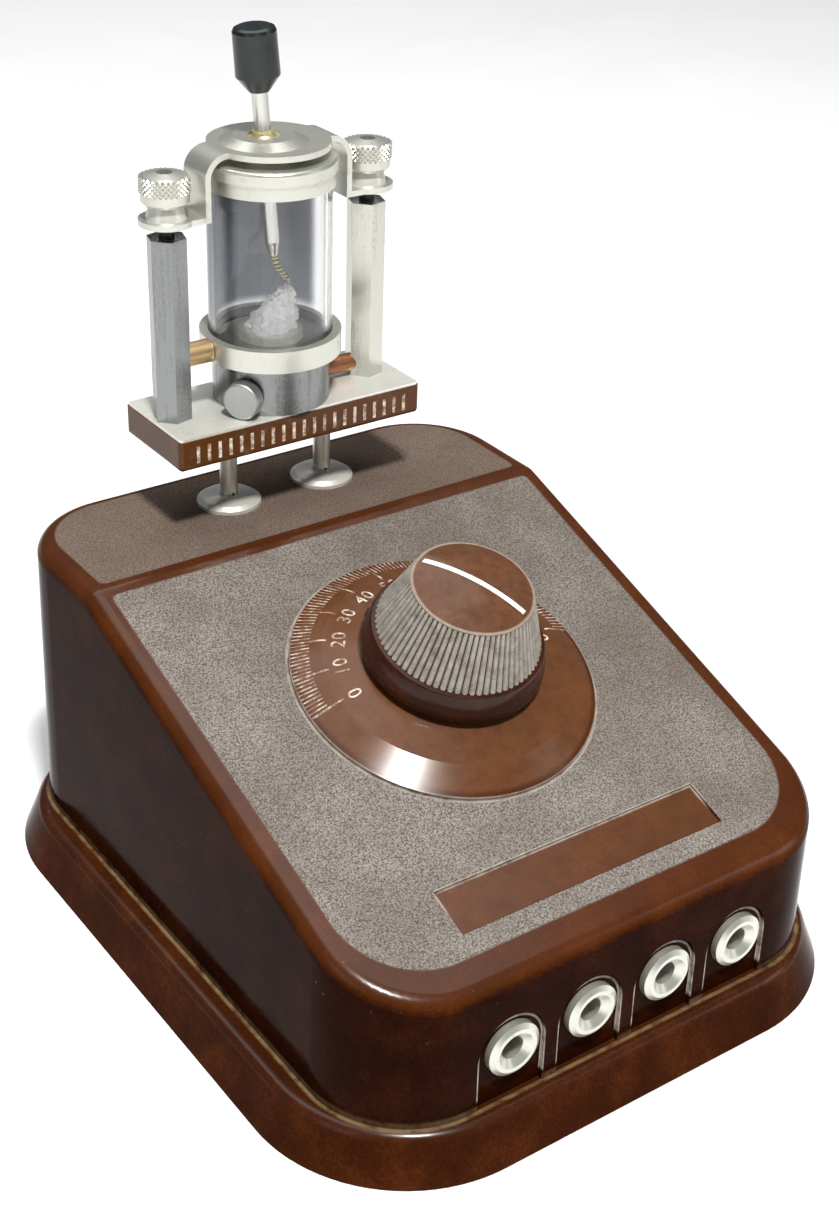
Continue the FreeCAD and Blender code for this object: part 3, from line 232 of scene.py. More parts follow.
def mottled_brown(finish):
    """Colour, roughness and faint orange peel of the brown moulding."""
    clouds = finish.noise(9.0, 5.0, 0.6)
    flecks = finish.noise(0.55, 3.0, 0.65, seed=3.0)
    colour = finish.ramp(clouds * 0.6 + flecks * 0.4, (0.30, BROWN_DEEP), (0.50, BROWN), (0.72, BROWN_WARM))
    smears = finish.noise(14.0, 4.0, 0.7, seed=7.0)
    roughness = 0.07 + smears.fade(0.45, 0.75) * 0.12 + flecks * 0.05
    height = finish.noise(1.3, 2.0, 0.5, seed=5.0) * 0.006
    return colour, roughness, height


def plaque(u, v, half_u, half_v, corner):
    """Signed distance to a rounded rectangle, negative inside."""
    past_u = abs(u) - (half_u - corner)
    past_v = abs(v) - (half_v - corner)
    over_u, over_v = past_u.most(0.0), past_v.most(0.0)
    return (over_u * over_u + over_v * over_v).root() + past_u.most(past_v).least(0.0) - corner


def case_moulding():
    """Polished brown with two stippled grey panels, a plain label, dust in the corners, and painted light
    and shade.
    """
    finish = Finish("case_moulding")
    brown, brown_rough, peel = mottled_brown(finish)
    across, up, out = finish.slope_frame()
    _, y, z = finish.millimetres()
    radius = (across * across + up * up).root()
    # Panels: the slope's lower corners and the deck's rear corners follow the body's own corners.
    slope_corner = FOLD_CORNER + up.fade(4.0, -4.0) * (FRONT_CORNER - FOLD_CORNER)
    deck_corner = FOLD_CORNER + y.fade(40.0, 45.0) * (REAR_CORNER - FOLD_CORNER)
    slope_panel = plaque(across, up + SLOPE_PANEL_DOWN, PANEL_HALF_WIDE, SLOPE_PANEL_HALF, slope_corner)
    deck_panel = plaque(across, y - DECK_PANEL_BACK, PANEL_HALF_WIDE, DECK_PANEL_HALF, deck_corner)
    label = plaque(across, up + LABEL_DOWN, LABEL_HALF_WIDE, LABEL_HALF_TALL, LABEL_CORNER)
    past_dial = radius - DIAL_LIP[0]
    on_slope = slope_panel.fade(0.25, -0.25) * out.fade(-0.35, -0.15) * label.fade(-0.1, 0.15) \
        * past_dial.fade(0.05, 0.30)
    on_deck = deck_panel.fade(0.25, -0.25) * (z - DECK_HIGH).fade(-0.35, -0.15)
    panel = on_slope.most(on_deck)
    # Stipple: pale grey tops over brown hollows. The pale grey is partly painted light on the grains, and
    # paler towards the front and left as painted light; the hollows are partly painted shade.
    grains = finish.noise(0.30, 2.0, 0.75, seed=11.0)
    patches = finish.noise(16.0, 4.0, 0.6, seed=2.0)
    pale = grains.fade(0.34, 0.64) * (0.78 + patches.fade(0.3, 0.7) * 0.22)
    worn = finish.blend(patches.fade(0.25, 0.8) * 0.5 + (up * -1.0 - across).fade(-45.0, 60.0) * 0.5,
                        (0.180, 0.170, 0.152), (0.315, 0.298, 0.276))
    worn = finish.blend(on_deck * 0.60, worn, (0.14, 0.085, 0.055))
    stipple = finish.blend(pale, (0.080, 0.055, 0.042), worn)
    # Pale lines round the dial, the label and the sockets' niches: partly dust and wear, partly painted
    # highlight along these edges.
    gather = finish.noise(2.5, 3.0, 0.6, seed=9.0).fade(0.25, 0.65)
    dial_line = abs(past_dial - 0.15).fade(0.42, 0.12) * abs(out - 0.3).fade(0.9, 0.5)
    label_line = abs(label + 0.05).fade(0.42, 0.12) * abs(out + 0.1).fade(0.9, 0.5)
    label_line = label_line * up.fade(-42.0, -38.0)
    nearest = abs(abs(across) - SOCKET_PITCH) - SOCKET_PITCH / 2
    niche = plaque(nearest, z - NICHE_MIDDLE, NICHE_HALF_WIDE, NICHE_HALF_TALL, NICHE_ARCH)
    on_front = abs(y + BODY_HALF_DEEP).fade(4.55, 4.05)
    above_plinth = z - PLINTH_HIGH
    niche_line = abs(niche).fade(0.28, 0.08) * on_front * above_plinth.fade(1.5, 2.5)
    lines = (dial_line * 0.6).most(label_line * 0.6).most(niche_line) * (0.25 + gather * 0.6)
    # The dial's top is rubbed matt, and it is painted a little paler than the walls: painted reflection of
    # the overhead light. The label is painted paler too.
    matt_and_painted_reflection = past_dial.fade(-0.3, -1.3) * out.fade(0.2, 0.8)
    matt_and_painted_reflection = matt_and_painted_reflection.most(label.fade(-0.2, -0.4) * abs(out + 0.3).fade(0.9, 0.5) * 0.7)
    brown = finish.blend(matt_and_painted_reflection * (0.30 + gather * 0.12), brown, (0.20, 0.084, 0.034))
    # Painted shade: faces that look sideways and down, the walls most, are darkened. Painted light: the
    # rounded edges and other faces that look up are a lighter, warmer brown, and the plinth less so.
    level = finish.looks_up()
    brown = finish.blend(level.fade(0.20, 0.02) * 0.55, brown, (0.006, 0.0012, 0.0010))
    rubbed = level.fade(0.12, 0.55) * (1.0 - matt_and_painted_reflection) * (0.10 + above_plinth.fade(1.0, 6.0) * 0.20)
    brown = finish.blend(rubbed, brown, (0.115, 0.032, 0.005))
    # A pale line where the body meets the plinth, partly dust and partly a painted highlight along the
    # ledge.
    foot = abs(plaque(across, y, BODY_HALF_WIDE, BODY_HALF_DEEP, BODY_CORNER)).fade(0.55, 0.15)
    foot = foot * above_plinth.fade(1.4, 0.6) * above_plinth.fade(-1.5, -0.5)
    brown = finish.blend(foot * (0.05 + gather * 0.50), brown, (0.26, 0.18, 0.09))
    specks = finish.noise(1.1, 2.0, 0.7, seed=21.0).fade(0.70, 0.80)
    specks = specks * finish.noise(20.0, 2.0, seed=4.0).fade(0.4, 0.7)
    colour = finish.blend(specks * 0.18, brown, DUST)
    colour = finish.blend(panel, colour, stipple)
    colour = finish.blend(lines, colour, DUST)
    roughness = brown_rough + panel * 0.52 + lines * 0.4 + specks * 0.2 + matt_and_painted_reflection * 0.12
    height = peel + panel * (grains.fade(0.3, 0.7) * 0.055 + 0.03)
    # The faces that look up keep a polish, except the stippled ones.
    polish = level.fade(0.35, 0.75) * (1.0 - panel) * 0.65
    return finish.close(colour, roughness, height=height, shine=polish, fixed=WALLS)


def base_moulding():
    """Plain polished brown, a little warmer than the case."""
    finish = Finish("base_moulding")
    colour, roughness, height = mottled_brown(finish)
    dust = finish.noise(5.0, 5.0, 0.7, seed=5.0).fade(0.50, 0.80)
    colour = finish.blend(0.45, colour, (0.155, 0.062, 0.020))
    colour = finish.blend(dust * 0.12, colour, DUST)
    return finish.close(colour, roughness + dust * 0.25, height=height, fixed=BAKELITE)


def knob_moulding():
    """Polished brown, paler on the top, and palest along its rim, which is rubbed."""
    finish = Finish("knob_moulding")
    brown, brown_rough, peel = mottled_brown(finish)
    across, up, out = finish.slope_frame()
    radius = (across * across + up * up).root()
    above_rim = out - RIM_FOOT
    rim = abs(radius - RIM_RADIUS).fade(0.40, 0.15) * above_rim.fade(0.0, 0.2)
    worn = finish.noise(1.6, 3.0, 0.6, seed=8.0)
    crown = above_rim.fade(0.0, 0.4) * (0.10 + worn * 0.34)
    colour = finish.blend(crown, brown, (0.26, 0.125, 0.065))
    colour = finish.blend(rim * (0.30 + worn * 0.5), colour, (0.34, 0.29, 0.23))
    sheen = {**BAKELITE, "Coat IOR": 1.5, "Coat Roughness": 0.36, "Coat Weight": 0.25}
    return finish.close(colour, brown_rough + rim * 0.3, height=peel, fixed=sheen)


def worn_ribs():
    """Flutes rubbed pale grey with brown left between them."""
    finish = Finish("worn_ribs")
    worn = finish.noise(2.2, 4.0, 0.6, seed=12.0)
    fine = finish.noise(0.25, 2.0, 0.6, seed=6.0)
    colour = finish.ramp(worn * 0.6 + fine * 0.4, (0.28, (0.11, 0.080, 0.060)), (0.48, (0.27, 0.245, 0.21)),
                         (0.70, (0.42, 0.40, 0.36)))
    return finish.close(colour, 0.42 + fine * 0.2, height=fine * 0.01)


def metal(name, bright, tarnish, rough, wear=0.5, seed=0.0, stretch=(1, 1, 1), grain=0.02, bare=1.0):
    """Metal with tarnish clouds, pits and fine scratches; bare is how metallic its clean parts are."""
    finish = Finish(name)
    clouds = finish.noise(4.5, 5.0, 0.65, stretch=stretch, seed=seed)
    pits = finish.noise(0.5, 3.0, 0.7, seed=seed + 4.0)
    scratches = finish.noise(0.9, 4.0, 0.7, stretch=stretch, seed=seed + 9.0)
    stain = (clouds * 0.7 + pits * 0.3).fade(0.62 - wear * 0.2, 0.86 - wear * 0.2)
    colour = finish.blend(stain, bright, tarnish)
    roughness = rough + stain * 0.22 + scratches * 0.10
    height = scratches * grain + pits * 0.012
    return finish.close(colour, roughness, metallic=bare - stain * 0.12, height=height)


def handle_plastic():
    """Near-black moulded plastic."""
    finish = Finish("handle_plastic")
    haze = finish.noise(2.0, 4.0, 0.6)
    colour = finish.ramp(haze, (0.3, (0.002, 0.005, 0.005)), (0.7, (0.008, 0.016, 0.016)))
    return finish.close(colour, 0.20 + haze * 0.12, height=finish.noise(0.4) * 0.01, fixed={"IOR": 1.52})


def smoky_glass():
    """Clear glass whose rear half is coloured dark slate, lighter towards the seat."""
    finish = Finish("smoky_glass")
    _, y, z = finish.millimetres()
    film = finish.noise(5.0, 4.0, 0.6, stretch=(1, 1, 0.35))
    streaks = finish.noise(0.7, 3.0, 0.6, stretch=(1, 1, 0.06), seed=3.0)
    thick = (film * 0.45 + streaks * 0.30 + (z - GLASS_FOOT).fade(22.0, 2.0) * 0.30)
    slate = finish.ramp(thick, (0.28, (0.022, 0.026, 0.036)), (0.72, (0.11, 0.12, 0.135)))
    rear = (y - GLASS_MIDDLE).fade(-0.5, 2.5) * (z - GLASS_FOOT).fade(1.0, 4.0)
    clear = finish.ramp(streaks, (0.35, (0.84, 0.85, 0.86)), (0.65, (0.96, 0.96, 0.96)))
    colour = finish.blend(rear, clear, slate)
    return finish.close(colour, film.fade(0.35, 0.8) * 0.04 + streaks * 0.03,
                        fixed={"Transmission Weight": 1.0, "IOR": 1.42})


def cleaved_crystal():
    """Lead-grey mineral painted near white: painted highlight for the glint of its cleavage faces."""
    finish = Finish("cleaved_crystal")
    cells = finish.add("ShaderNodeTexVoronoi", {"Vector": finish.place, "Scale": 1.0 / (0.7 * MM)})
    fine = finish.noise(0.3, 3.0, 0.7)
    colour = finish.ramp(fine * 0.5 + cells * 0.5, (0.10, (0.84, 0.86, 0.89)), (0.30, (1.0, 1.0, 1.0)))
    return finish.close(colour, 0.14 + fine * 0.30, metallic=fine * 0.1, height=cells * 0.10 + fine * 0.05)


def pale_paint(name, colour, wear):
    """Paint rubbed into an engraving, partly worn away; a wear well below 0 leaves it whole."""
    finish = Finish(name)
    rubbed = finish.noise(1.4, 4.0, 0.7, seed=wear * 9.0)
    tone = finish.blend(rubbed.fade(0.72 - wear * 0.3, 0.35), (0.20, 0.10, 0.06), colour)
    return finish.close(tone, 0.45 + rubbed * 0.2)


def fibre(name, dark, light, grain, stretch):
    """Pressed board or wound paper."""
    finish = Finish(name)
    strands = finish.noise(grain, 5.0, 0.7, stretch=stretch)
    fuzz = finish.noise(0.4, 3.0, 0.7, seed=2.0)
    colour = finish.ramp(strands * 0.7 + fuzz * 0.3, (0.3, dark), (0.7, light))
    return finish.close(colour, 0.62 + fuzz * 0.2, height=fuzz * 0.04 + strands * 0.03)


def wound_wire():
    """Enamelled turns side by side round the coil's axis."""
    finish = Finish("wound_wire")
    x, _, _ = finish.millimetres()
    turn = abs(x % WIRE_PITCH - WIRE_PITCH / 2) * (2.0 / WIRE_PITCH)
    shade = finish.noise(3.0, 3.0)
    colour = finish.ramp(shade, (0.3, (0.20, 0.055, 0.020)), (0.7, (0.42, 0.14, 0.05)))
    return finish.close(colour, 0.28 + shade * 0.2, metallic=0.7, height=(1.0 - turn * turn) * 0.12)


def table_top():
    """Plain pale floor."""
    finish = Finish("table_top")
    cloud = finish.noise(60.0, 3.0)
    colour = finish.ramp(cloud, (0.3, (0.90, 0.90, 0.90)), (0.7, (0.93, 0.93, 0.93)))
    return finish.close(colour, 0.75)


ALONG_Z = (3.0, 3.0, 0.25)
NICKEL = metal("worn_nickel", (0.56, 0.56, 0.52), (0.26, 0.24, 0.18), 0.16, wear=0.30)
NICKEL_DRAWN = metal("drawn_nickel", (0.54, 0.54, 0.49), (0.26, 0.26, 0.20), 0.18, wear=0.50,
                     stretch=ALONG_Z, bare=0.85)
# Painted light and shade: the posts' nickel comes in a brighter copy for the right post and this darker one
# for the left post, for what each reflects. The drum wears the darker one too.
NICKEL_DARK = metal("dark_nickel", (0.24, 0.25, 0.25), (0.150, 0.155, 0.148), 0.20, wear=0.60,
                    stretch=ALONG_Z, bare=0.88)
NICKEL_MATT = metal("matt_nickel", (0.46, 0.46, 0.46), (0.34, 0.33, 0.32), 0.42, wear=0.3)
NICKEL_PALE = metal("pale_nickel", (0.62, 0.62, 0.56), (0.34, 0.32, 0.24), 0.28, wear=0.42, bare=0.80)
# Partly painted reflection: this nickel is paler and less metallic than the rest, standing in for the pale
# surroundings its pieces reflect.
NICKEL_BRIGHT = metal("bright_nickel", (0.82, 0.82, 0.76), (0.46, 0.44, 0.35), 0.30, wear=0.45, bare=0.62)
NICKEL_WARM = metal("tarnished_nickel", (0.62, 0.61, 0.50), (0.34, 0.31, 0.21), 0.34, wear=0.5, bare=0.75)
BRASS = metal("dull_brass", (0.80, 0.70, 0.42), (0.44, 0.34, 0.17), 0.30, wear=0.4, bare=0.8)
COPPER = metal("dull_copper", (0.34, 0.155, 0.080), (0.17, 0.075, 0.04), 0.34, wear=0.5)
BRONZE = metal("dull_bronze", (0.62, 0.44, 0.24), (0.40, 0.24, 0.12), 0.36, wear=0.4)
STEEL = metal("plain_steel", (0.50, 0.50, 0.50), (0.22, 0.20, 0.18), 0.32, wear=0.5)
BLACKED = metal("blacked_steel", (0.05, 0.05, 0.05), (0.015, 0.015, 0.015), 0.42, wear=0.4)
ALUMINIUM = metal("dull_aluminium", (0.78, 0.78, 0.79), (0.55, 0.55, 0.55), 0.38, wear=0.3)
WORN_RIBS = worn_ribs()
CARD = fibre("varnished_card", (0.16, 0.075, 0.030), (0.36, 0.20, 0.09), 3.0, (0.2, 1, 1))
BOARD = fibre("pressed_board", (0.055, 0.030, 0.018), (0.14, 0.085, 0.050), 1.6, (1, 0.3, 1))
DIAL_PAINT = pale_paint("dial_paint", (0.66, 0.60, 0.52), 0.35)
TICK_PAINT = pale_paint("tick_paint", (0.60, 0.54, 0.46), 0.55)
INDEX_PAINT = pale_paint("index_paint", (0.95, 0.95, 0.94), -0.8)
STROKE_PAINT = pale_paint("stroke_paint", (0.80, 0.72, 0.58), 0.30)
CRYSTAL = cleaved_crystal()

NODE_FINISHES = {
    case_moulding(): ["case_shell"],
    base_moulding(): ["detector_base"],
    NICKEL: ["detector_rod"],
    NICKEL_DRAWN: ["right_post"],
    # The left post's dark nickel is painted shade.
    NICKEL_DARK: ["left_post", "drum"],
    # The bright nickel is partly painted reflection.
    NICKEL_BRIGHT: ["left_cover", "right_cover", "crystal_cup", "ear_washers", "deck_sockets"],
    NICKEL_PALE: ["bridge", "ball_retainer", "plug_pins", "glass_seat_ring", "glass_cap", "left_thumb_nut",
                  "right_thumb_nut", "front_socket_1", "front_socket_2", "front_socket_3", "front_socket_4"],
    NICKEL_MATT: ["clamp_screw"],
    NICKEL_WARM: ["ball_housing"],
    BRASS: ["front_solder_tags", "front_socket_nuts", "deck_solder_tags", "deck_socket_nuts", "shaft_bush",
            "bush_nut", "capacitor_pillars", "ball_liner", "pivot_ball", "rod_sleeve"],
    COPPER: ["right_stay_stud", "hookup_wires"],
    BRONZE: ["left_stay_stud"],
    STEEL: ["base_screws", "cheek_screws", "tuning_shaft", "grub_screw"],
    BLACKED: ["post_studs"],
    ALUMINIUM: ["capacitor_front_plate", "capacitor_rear_plate", "fixed_vanes", "moving_vanes"],
    wound_wire(): ["coil_winding"],
    CARD: ["coil_former"],
    BOARD: ["base_plate", "left_coil_cheek", "right_coil_cheek"],
    smoky_glass(): ["glass_tube"],
    handle_plastic(): ["handle"],
}
for material, names in NODE_FINISHES.items():
    for name in names:
        NODES[name].data.materials.clear()
        NODES[name].data.materials.append(material)


# ---------------------------------------------------------------- meshes
def joint_frame(joint_name):
    """Z along the joint's axis, X to the right as far as it can be, origin at the joint's place."""
    joint = JOINTS[joint_name]
    ahead = Vector(joint["axis"]).normalized()
    across = Vector((1, 0, 0)) if abs(ahead.x) < 0.9 else Vector((0, 1, 0))
    across = (across - ahead * across.dot(ahead)).normalized()
    turned = Matrix((across, ahead.cross(across), ahead)).transposed().to_4x4()
    return Matrix.Translation(Vector(joint["pos_m"])) @ turned


def mesh_from(name, points, faces):
    """A mesh from points in millimetres."""
    mesh = bpy.data.meshes.new(name)
    mesh.from_pydata([Vector(point) * MM for point in points], [], faces)
    mesh.validate()
    return mesh


def finished(name, mesh, place, body, material=None, stands_for=()):
    """Put a mesh in the receiver's frame as a piece that rides on a body."""
    mesh.transform(place)
    mesh.name = name
    if material:
        mesh.materials.clear()
        mesh.materials.append(material)
    piece = bpy.data.objects.new(name, mesh)
    bpy.context.scene.collection.objects.link(piece)
    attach(piece, body)
    if stands_for:
        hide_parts(*stands_for)
    return piece


def lathe(name, profile, segments=96, sharp=35.0):
    """Turn a profile of (radius, height) about Z. It starts and ends on the axis or closes on itself."""
    points, rings = [], []
    for radius, height in profile:
        if radius < 1e-6:
            rings.append([len(points)])
            points.append((0.0, 0.0, height))
            continue
        first = len(points)
        rings.append(range(first, first + segments))
        for index in range(segments):
            angle = TURN * index / segments
            points.append((radius * math.cos(angle), radius * math.sin(angle), height))
    faces = []
    for low, high in zip(rings, rings[1:]):
        for index in range(segments):
            after = (index + 1) % segments
            corners = [low[index % len(low)], low[after % len(low)],
                       high[after % len(high)], high[index % len(high)]]
            faces.append(list(dict.fromkeys(corners)))
    mesh = mesh_from(name, points, faces)
    mesh.shade_smooth()
    mesh.set_sharp_from_angle(angle=math.radians(sharp))
    return mesh


def prism_along(name, path, width, depth):
    """A narrow bar that follows (radius, height) points in the XZ plane, deep by depth below them."""
    points = [(radius, side * width / 2, height + drop)
              for radius, height in path for side, drop in ((-1, -depth), (1, -depth), (1, 0), (-1, 0))]
    faces = [(0, 3, 2, 1), tuple(len(points) - 4 + index for index in range(4))]
    for start in range(0, len(points) - 4, 4):
        for index in range(4):
            after = (index + 1) % 4
            faces.append((start + index, start + after, start + 4 + after, start + 4 + index))
    return mesh_from(name, points, faces)


# ---------------------------------------------------------------- geometry nodes
def new_tree(name, sockets):
    """A geometry tree with named inputs, its bench and taps on those inputs."""
    tree = bpy.data.node_groups.new(name, "GeometryNodeTree")
    tree.interface.new_socket("Result", in_out="OUTPUT", socket_type="NodeSocketGeometry")
    for socket_name, kind in sockets.items():
        tree.interface.new_socket(socket_name, in_out="INPUT", socket_type="NodeSocket" + kind)
    bench = Bench(tree)
    entry = tree.nodes.new("NodeGroupInput")
    return tree, bench, {socket_name: Tap(bench, entry.outputs[socket_name]) for socket_name in sockets}


def end_tree(bench, geometry, material):
    real = bench.add("GeometryNodeRealizeInstances", {"Geometry": geometry})
    painted = bench.add("GeometryNodeSetMaterial", {"Geometry": real, "Material": material})
    bench.add("NodeGroupOutput", {"Result": painted})


def rows_round_axis():
    """Copies of the unit about Z, in rows up Z, each second row turned by half a step."""
    tree, bench, given = new_tree("rows_round_axis", {
        "Unit": "Geometry", "Around": "Int", "Rows": "Int", "First": "Float", "Step": "Float",
        "Rise": "Float", "Finish": "Material"})
    index = bench.add("GeometryNodeInputIndex")
    row = (index / given["Around"]).floor()
    column = index - row * given["Around"]
    turn = given["First"] + (column + (row % 2.0) * 0.5) * given["Step"]
    turn = bench.add("ShaderNodeCombineXYZ", {"Z": turn})
    lift = bench.add("ShaderNodeCombineXYZ", {"Z": row * given["Rise"]})
    count = given["Around"] * given["Rows"]
    spots = bench.add("GeometryNodeMeshLine", {"Count": count, "Offset": (0, 0, 0)})
    spots = bench.add("GeometryNodeSetPosition", {"Geometry": spots, "Offset": lift})
    copies = bench.add("GeometryNodeInstanceOnPoints",
                       {"Points": spots, "Instance": given["Unit"], "Rotation": turn})
    end_tree(bench, copies, given["Finish"])
    return tree


def splinters():
    """Small tilted blocks standing out of a lump, with the lump itself."""
    tree, bench, given = new_tree("splinters", {
        "Lump": "Geometry", "Density": "Float", "Smallest": "Float", "Largest": "Float", "Seed": "Int",
        "Finish": "Material"})
    scatter = {"Mesh": given["Lump"], "Density": given["Density"], "Seed": given["Seed"]}
    spots = bench.add("GeometryNodeDistributePointsOnFaces", scatter)
    tilt = bench.add("FunctionNodeRandomValue", {"Min": (-0.5, -0.5, 0.0), "Max": (0.5, 0.5, 1.6),
                                                 "Seed": given["Seed"]}, data_type="FLOAT_VECTOR")
    spread = bench.add("FunctionNodeRandomValue", {2: given["Smallest"], 3: given["Largest"],
                                                   "Seed": given["Seed"]}, output=1, data_type="FLOAT")
    block = bench.add("GeometryNodeMeshCube", {"Size": (1.0, 1.0, 1.0)})
    blocks = bench.add("GeometryNodeInstanceOnPoints",
                       {"Points": spots, "Instance": block, "Rotation": tilt, "Scale": spread})
    join = bench.tree.nodes.new("GeometryNodeJoinGeometry")
    for part in (blocks, given["Lump"]):
        bench.tree.links.new(part.socket, join.inputs[0])
    end_tree(bench, Tap(bench, join.outputs[0]), given["Finish"])
    return tree


def grown(name, mesh, tree, **inputs):
    """The plain mesh that a geometry tree makes of a starting mesh."""
    holder = bpy.data.objects.new(name + "_start", mesh)
    bpy.context.scene.collection.objects.link(holder)
    modifier = holder.modifiers.new("grow", "NODES")
    modifier.node_group = tree
    for item in tree.interface.items_tree:
        if item.in_out == "INPUT" and item.name in inputs:
            modifier[item.identifier] = inputs[item.name]
    bpy.context.view_layer.update()
    evaluated = holder.evaluated_get(bpy.context.evaluated_depsgraph_get())
    result = bpy.data.meshes.new_from_object(evaluated)
    bpy.data.objects.remove(holder)
    return result


ROWS = rows_round_axis()

# ---------------------------------------------------------------- dial
DIAL = joint_frame("tuning_turn")
DIVISIONS, NUMBERED = 100, 10
PAINT_PROUD, PAINT_DEEP = 0.03, 0.08
FIGURE_RADIUS, FIGURE_TALL = 18.5, 2.4


def dial_climb(outer, inner):
    """Rise for each millimetre towards the middle, between two points of the dial's outline."""
    return (inner[1] - outer[1]) / (outer[0] - inner[0])


def dial_height(radius):
    """Height of paint on the dial's bevel or on the cone inside it."""
    bevel = radius > DIAL_SHOULDER[0]
    outer, inner = (DIAL_LIP, DIAL_SHOULDER) if bevel else (DIAL_SHOULDER, DIAL_SEAT)
    return outer[1] + (outer[0] - radius) * dial_climb(outer, inner) + PAINT_PROUD


def dial_marks(name, radii, width, divisions):
    """Painted marks over the half of the dial that is nearer the deck."""
    path = [(radius, dial_height(radius)) for radius in radii]
    unit = prism_along(name, path, width, PAINT_DEEP)
    mesh = grown(name, unit, ROWS, Around=divisions + 1, Rows=1, First=0.0, Step=math.pi / divisions,
                 Rise=0.0, Finish=TICK_PAINT)
    finished(name, mesh, DIAL, "case")


dial_marks("dial_fine_marks", (DIAL_LIP[0] - 0.2, 23.2), 0.22, DIVISIONS)
dial_marks("dial_long_marks", (DIAL_LIP[0] - 0.2, DIAL_SHOULDER[0], 20.6), 0.34, NUMBERED)


def flat_text(words, height):
    """A number as a thin mesh, centred, in metres; a figure is 0.70 of the type's size tall."""
    curve = bpy.data.curves.new("figures", "FONT")
    curve.body = words
    curve.align_x, curve.align_y = "CENTER", "CENTER"
    curve.size = height / 0.70 * MM
    curve.extrude = 0.04 * MM
    curve.space_character = 1.1
    curve.resolution_u = 4
    holder = bpy.data.objects.new("figures", curve)
    bpy.context.scene.collection.objects.link(holder)
    bpy.context.view_layer.update()
    mesh = bpy.data.meshes.new_from_object(holder.evaluated_get(bpy.context.evaluated_depsgraph_get()))
    bpy.data.objects.remove(holder)
    return mesh


fall = math.atan(dial_climb(DIAL_SHOULDER, DIAL_SEAT))
for index in range(NUMBERED + 1):
    angle = math.pi * (1 - index / NUMBERED)
    outward = Vector((math.cos(angle), math.sin(angle), 0))
    along = Vector((math.sin(angle), -math.cos(angle), 0))
    upright = outward * math.cos(fall) - Vector((0, 0, 1)) * math.sin(fall)
    seat = Matrix((along, upright, along.cross(upright))).transposed().to_4x4()
    spot = (outward * FIGURE_RADIUS + Vector((0, 0, dial_height(FIGURE_RADIUS)))) * MM
    figure = index * DIVISIONS // NUMBERED
    finished(f"dial_figure_{figure}", flat_text(str(figure), FIGURE_TALL),
             DIAL @ Matrix.Translation(spot) @ seat, "case", DIAL_PAINT)

# ---------------------------------------------------------------- tuning knob
RIB_COUNT, RIB_HIGH, RIB_SHARE = 72, 0.42, 0.80
RIB_FOOT, RIB_TIP = (14.0, 11.15), (10.35, 21.1)
INDEX_REACH, INDEX_WIDE, INDEX_DEEP, INDEX_PROUD, INDEX_TURN = 9.2, 0.95, 0.12, 0.05, 120.0


def rib():
    """One tapered half-round flute, from the skirt up to the rim."""
    points, faces = [], []
    rows, across = 4, 5
    for row in range(rows):
        share = row / (rows - 1)
        radius = RIB_FOOT[0] + (RIB_TIP[0] - RIB_FOOT[0]) * share
        height = RIB_FOOT[1] + (RIB_TIP[1] - RIB_FOOT[1]) * share
        half = math.pi * radius / RIB_COUNT * RIB_SHARE
        for index in range(across):
            bend = math.pi * index / (across - 1)
            points.append((radius - RIB_HIGH + RIB_HIGH * math.sin(bend), half * math.cos(bend), height))
    for row in range(rows - 1):
        low = row * across
        for index in range(across):
            after = (index + 1) % across
            faces.append((low + index, low + across + index, low + across + after, low + after))
    faces += [tuple(range(across)), tuple(reversed(range((rows - 1) * across, rows * across)))]
    return mesh_from("rib", points, faces)


def dome_height(radius):
    """Height of the knob's domed top."""
    return DOME_FOOT + DOME_RISE * (1 - (radius / DOME_RADIUS) ** 2)


def dome_path(reach, shares, lift=0.0):
    return [(reach * share, dome_height(reach * share) + lift) for share in shares]


# Outline of the knob: the hollow under it, the skirt, the cone behind the flutes and the rim.
KNOB_HOLLOW = [(0.0, 9.8), (8.5, 9.8), (8.5, 6.5), (8.8, 6.2)]
KNOB_SKIRT = [(15.2, 6.2), (15.5, 6.35), (15.65, 6.7), (15.65, 7.3), (15.55, 7.9), (14.75, 10.75),
              (14.55, 11.05), (14.1, 11.2)]
KNOB_CONE = [(13.55, 11.2), (9.95, 20.95), (10.3, 21.15), (10.28, 21.3)]
dome = dome_path(DOME_RADIUS, (1, 0.93, 0.8, 0.65, 0.5, 0.35, 0.18, 0))
knob_body = lathe("knob_body", KNOB_HOLLOW + KNOB_SKIRT + KNOB_CONE + dome, segments=144, sharp=30.0)
finished("knob_body", knob_body, DIAL, "tuning", knob_moulding(), ["tuning_knob"])
ribs = grown("knob_flutes", rib(), ROWS, Around=RIB_COUNT, Rows=1, First=0.0, Step=TURN / RIB_COUNT,
             Rise=0.0, Finish=WORN_RIBS)
finished("knob_flutes", ribs, DIAL, "tuning")

arc = dome_path(INDEX_REACH, (-1, -0.85, -0.7, -0.5, -0.3, -0.1, 0.1, 0.3, 0.5, 0.7, 0.85, 1), INDEX_PROUD)
index_line = prism_along("knob_index_line", arc, INDEX_WIDE, INDEX_DEEP)
index_line.transform(Matrix.Rotation(math.radians(INDEX_TURN), 4, "Z"))
finished("knob_index_line", index_line, DIAL, "tuning", INDEX_PAINT)

# ---------------------------------------------------------------- knurled nuts
KNURLS_AROUND, KNURL_ROWS, KNURL_HIGH, KNURL_SUNK, KNURL_SHARE = 28, 6, 0.34, 0.1, 0.96
KNURL_FROM_TOP = 0.35


def knurl_stud(radius, half):
    """A flat diamond pyramid on the outside of a nut."""
    inside = radius - KNURL_SUNK
    points = [(inside, -half, 0), (inside, 0, -half), (inside, half, 0), (inside, 0, half),
              (radius + KNURL_HIGH, 0, 0)]
    return mesh_from("stud", points, [(0, 1, 4), (1, 2, 4), (2, 3, 4), (3, 0, 4), (3, 2, 1, 0)])


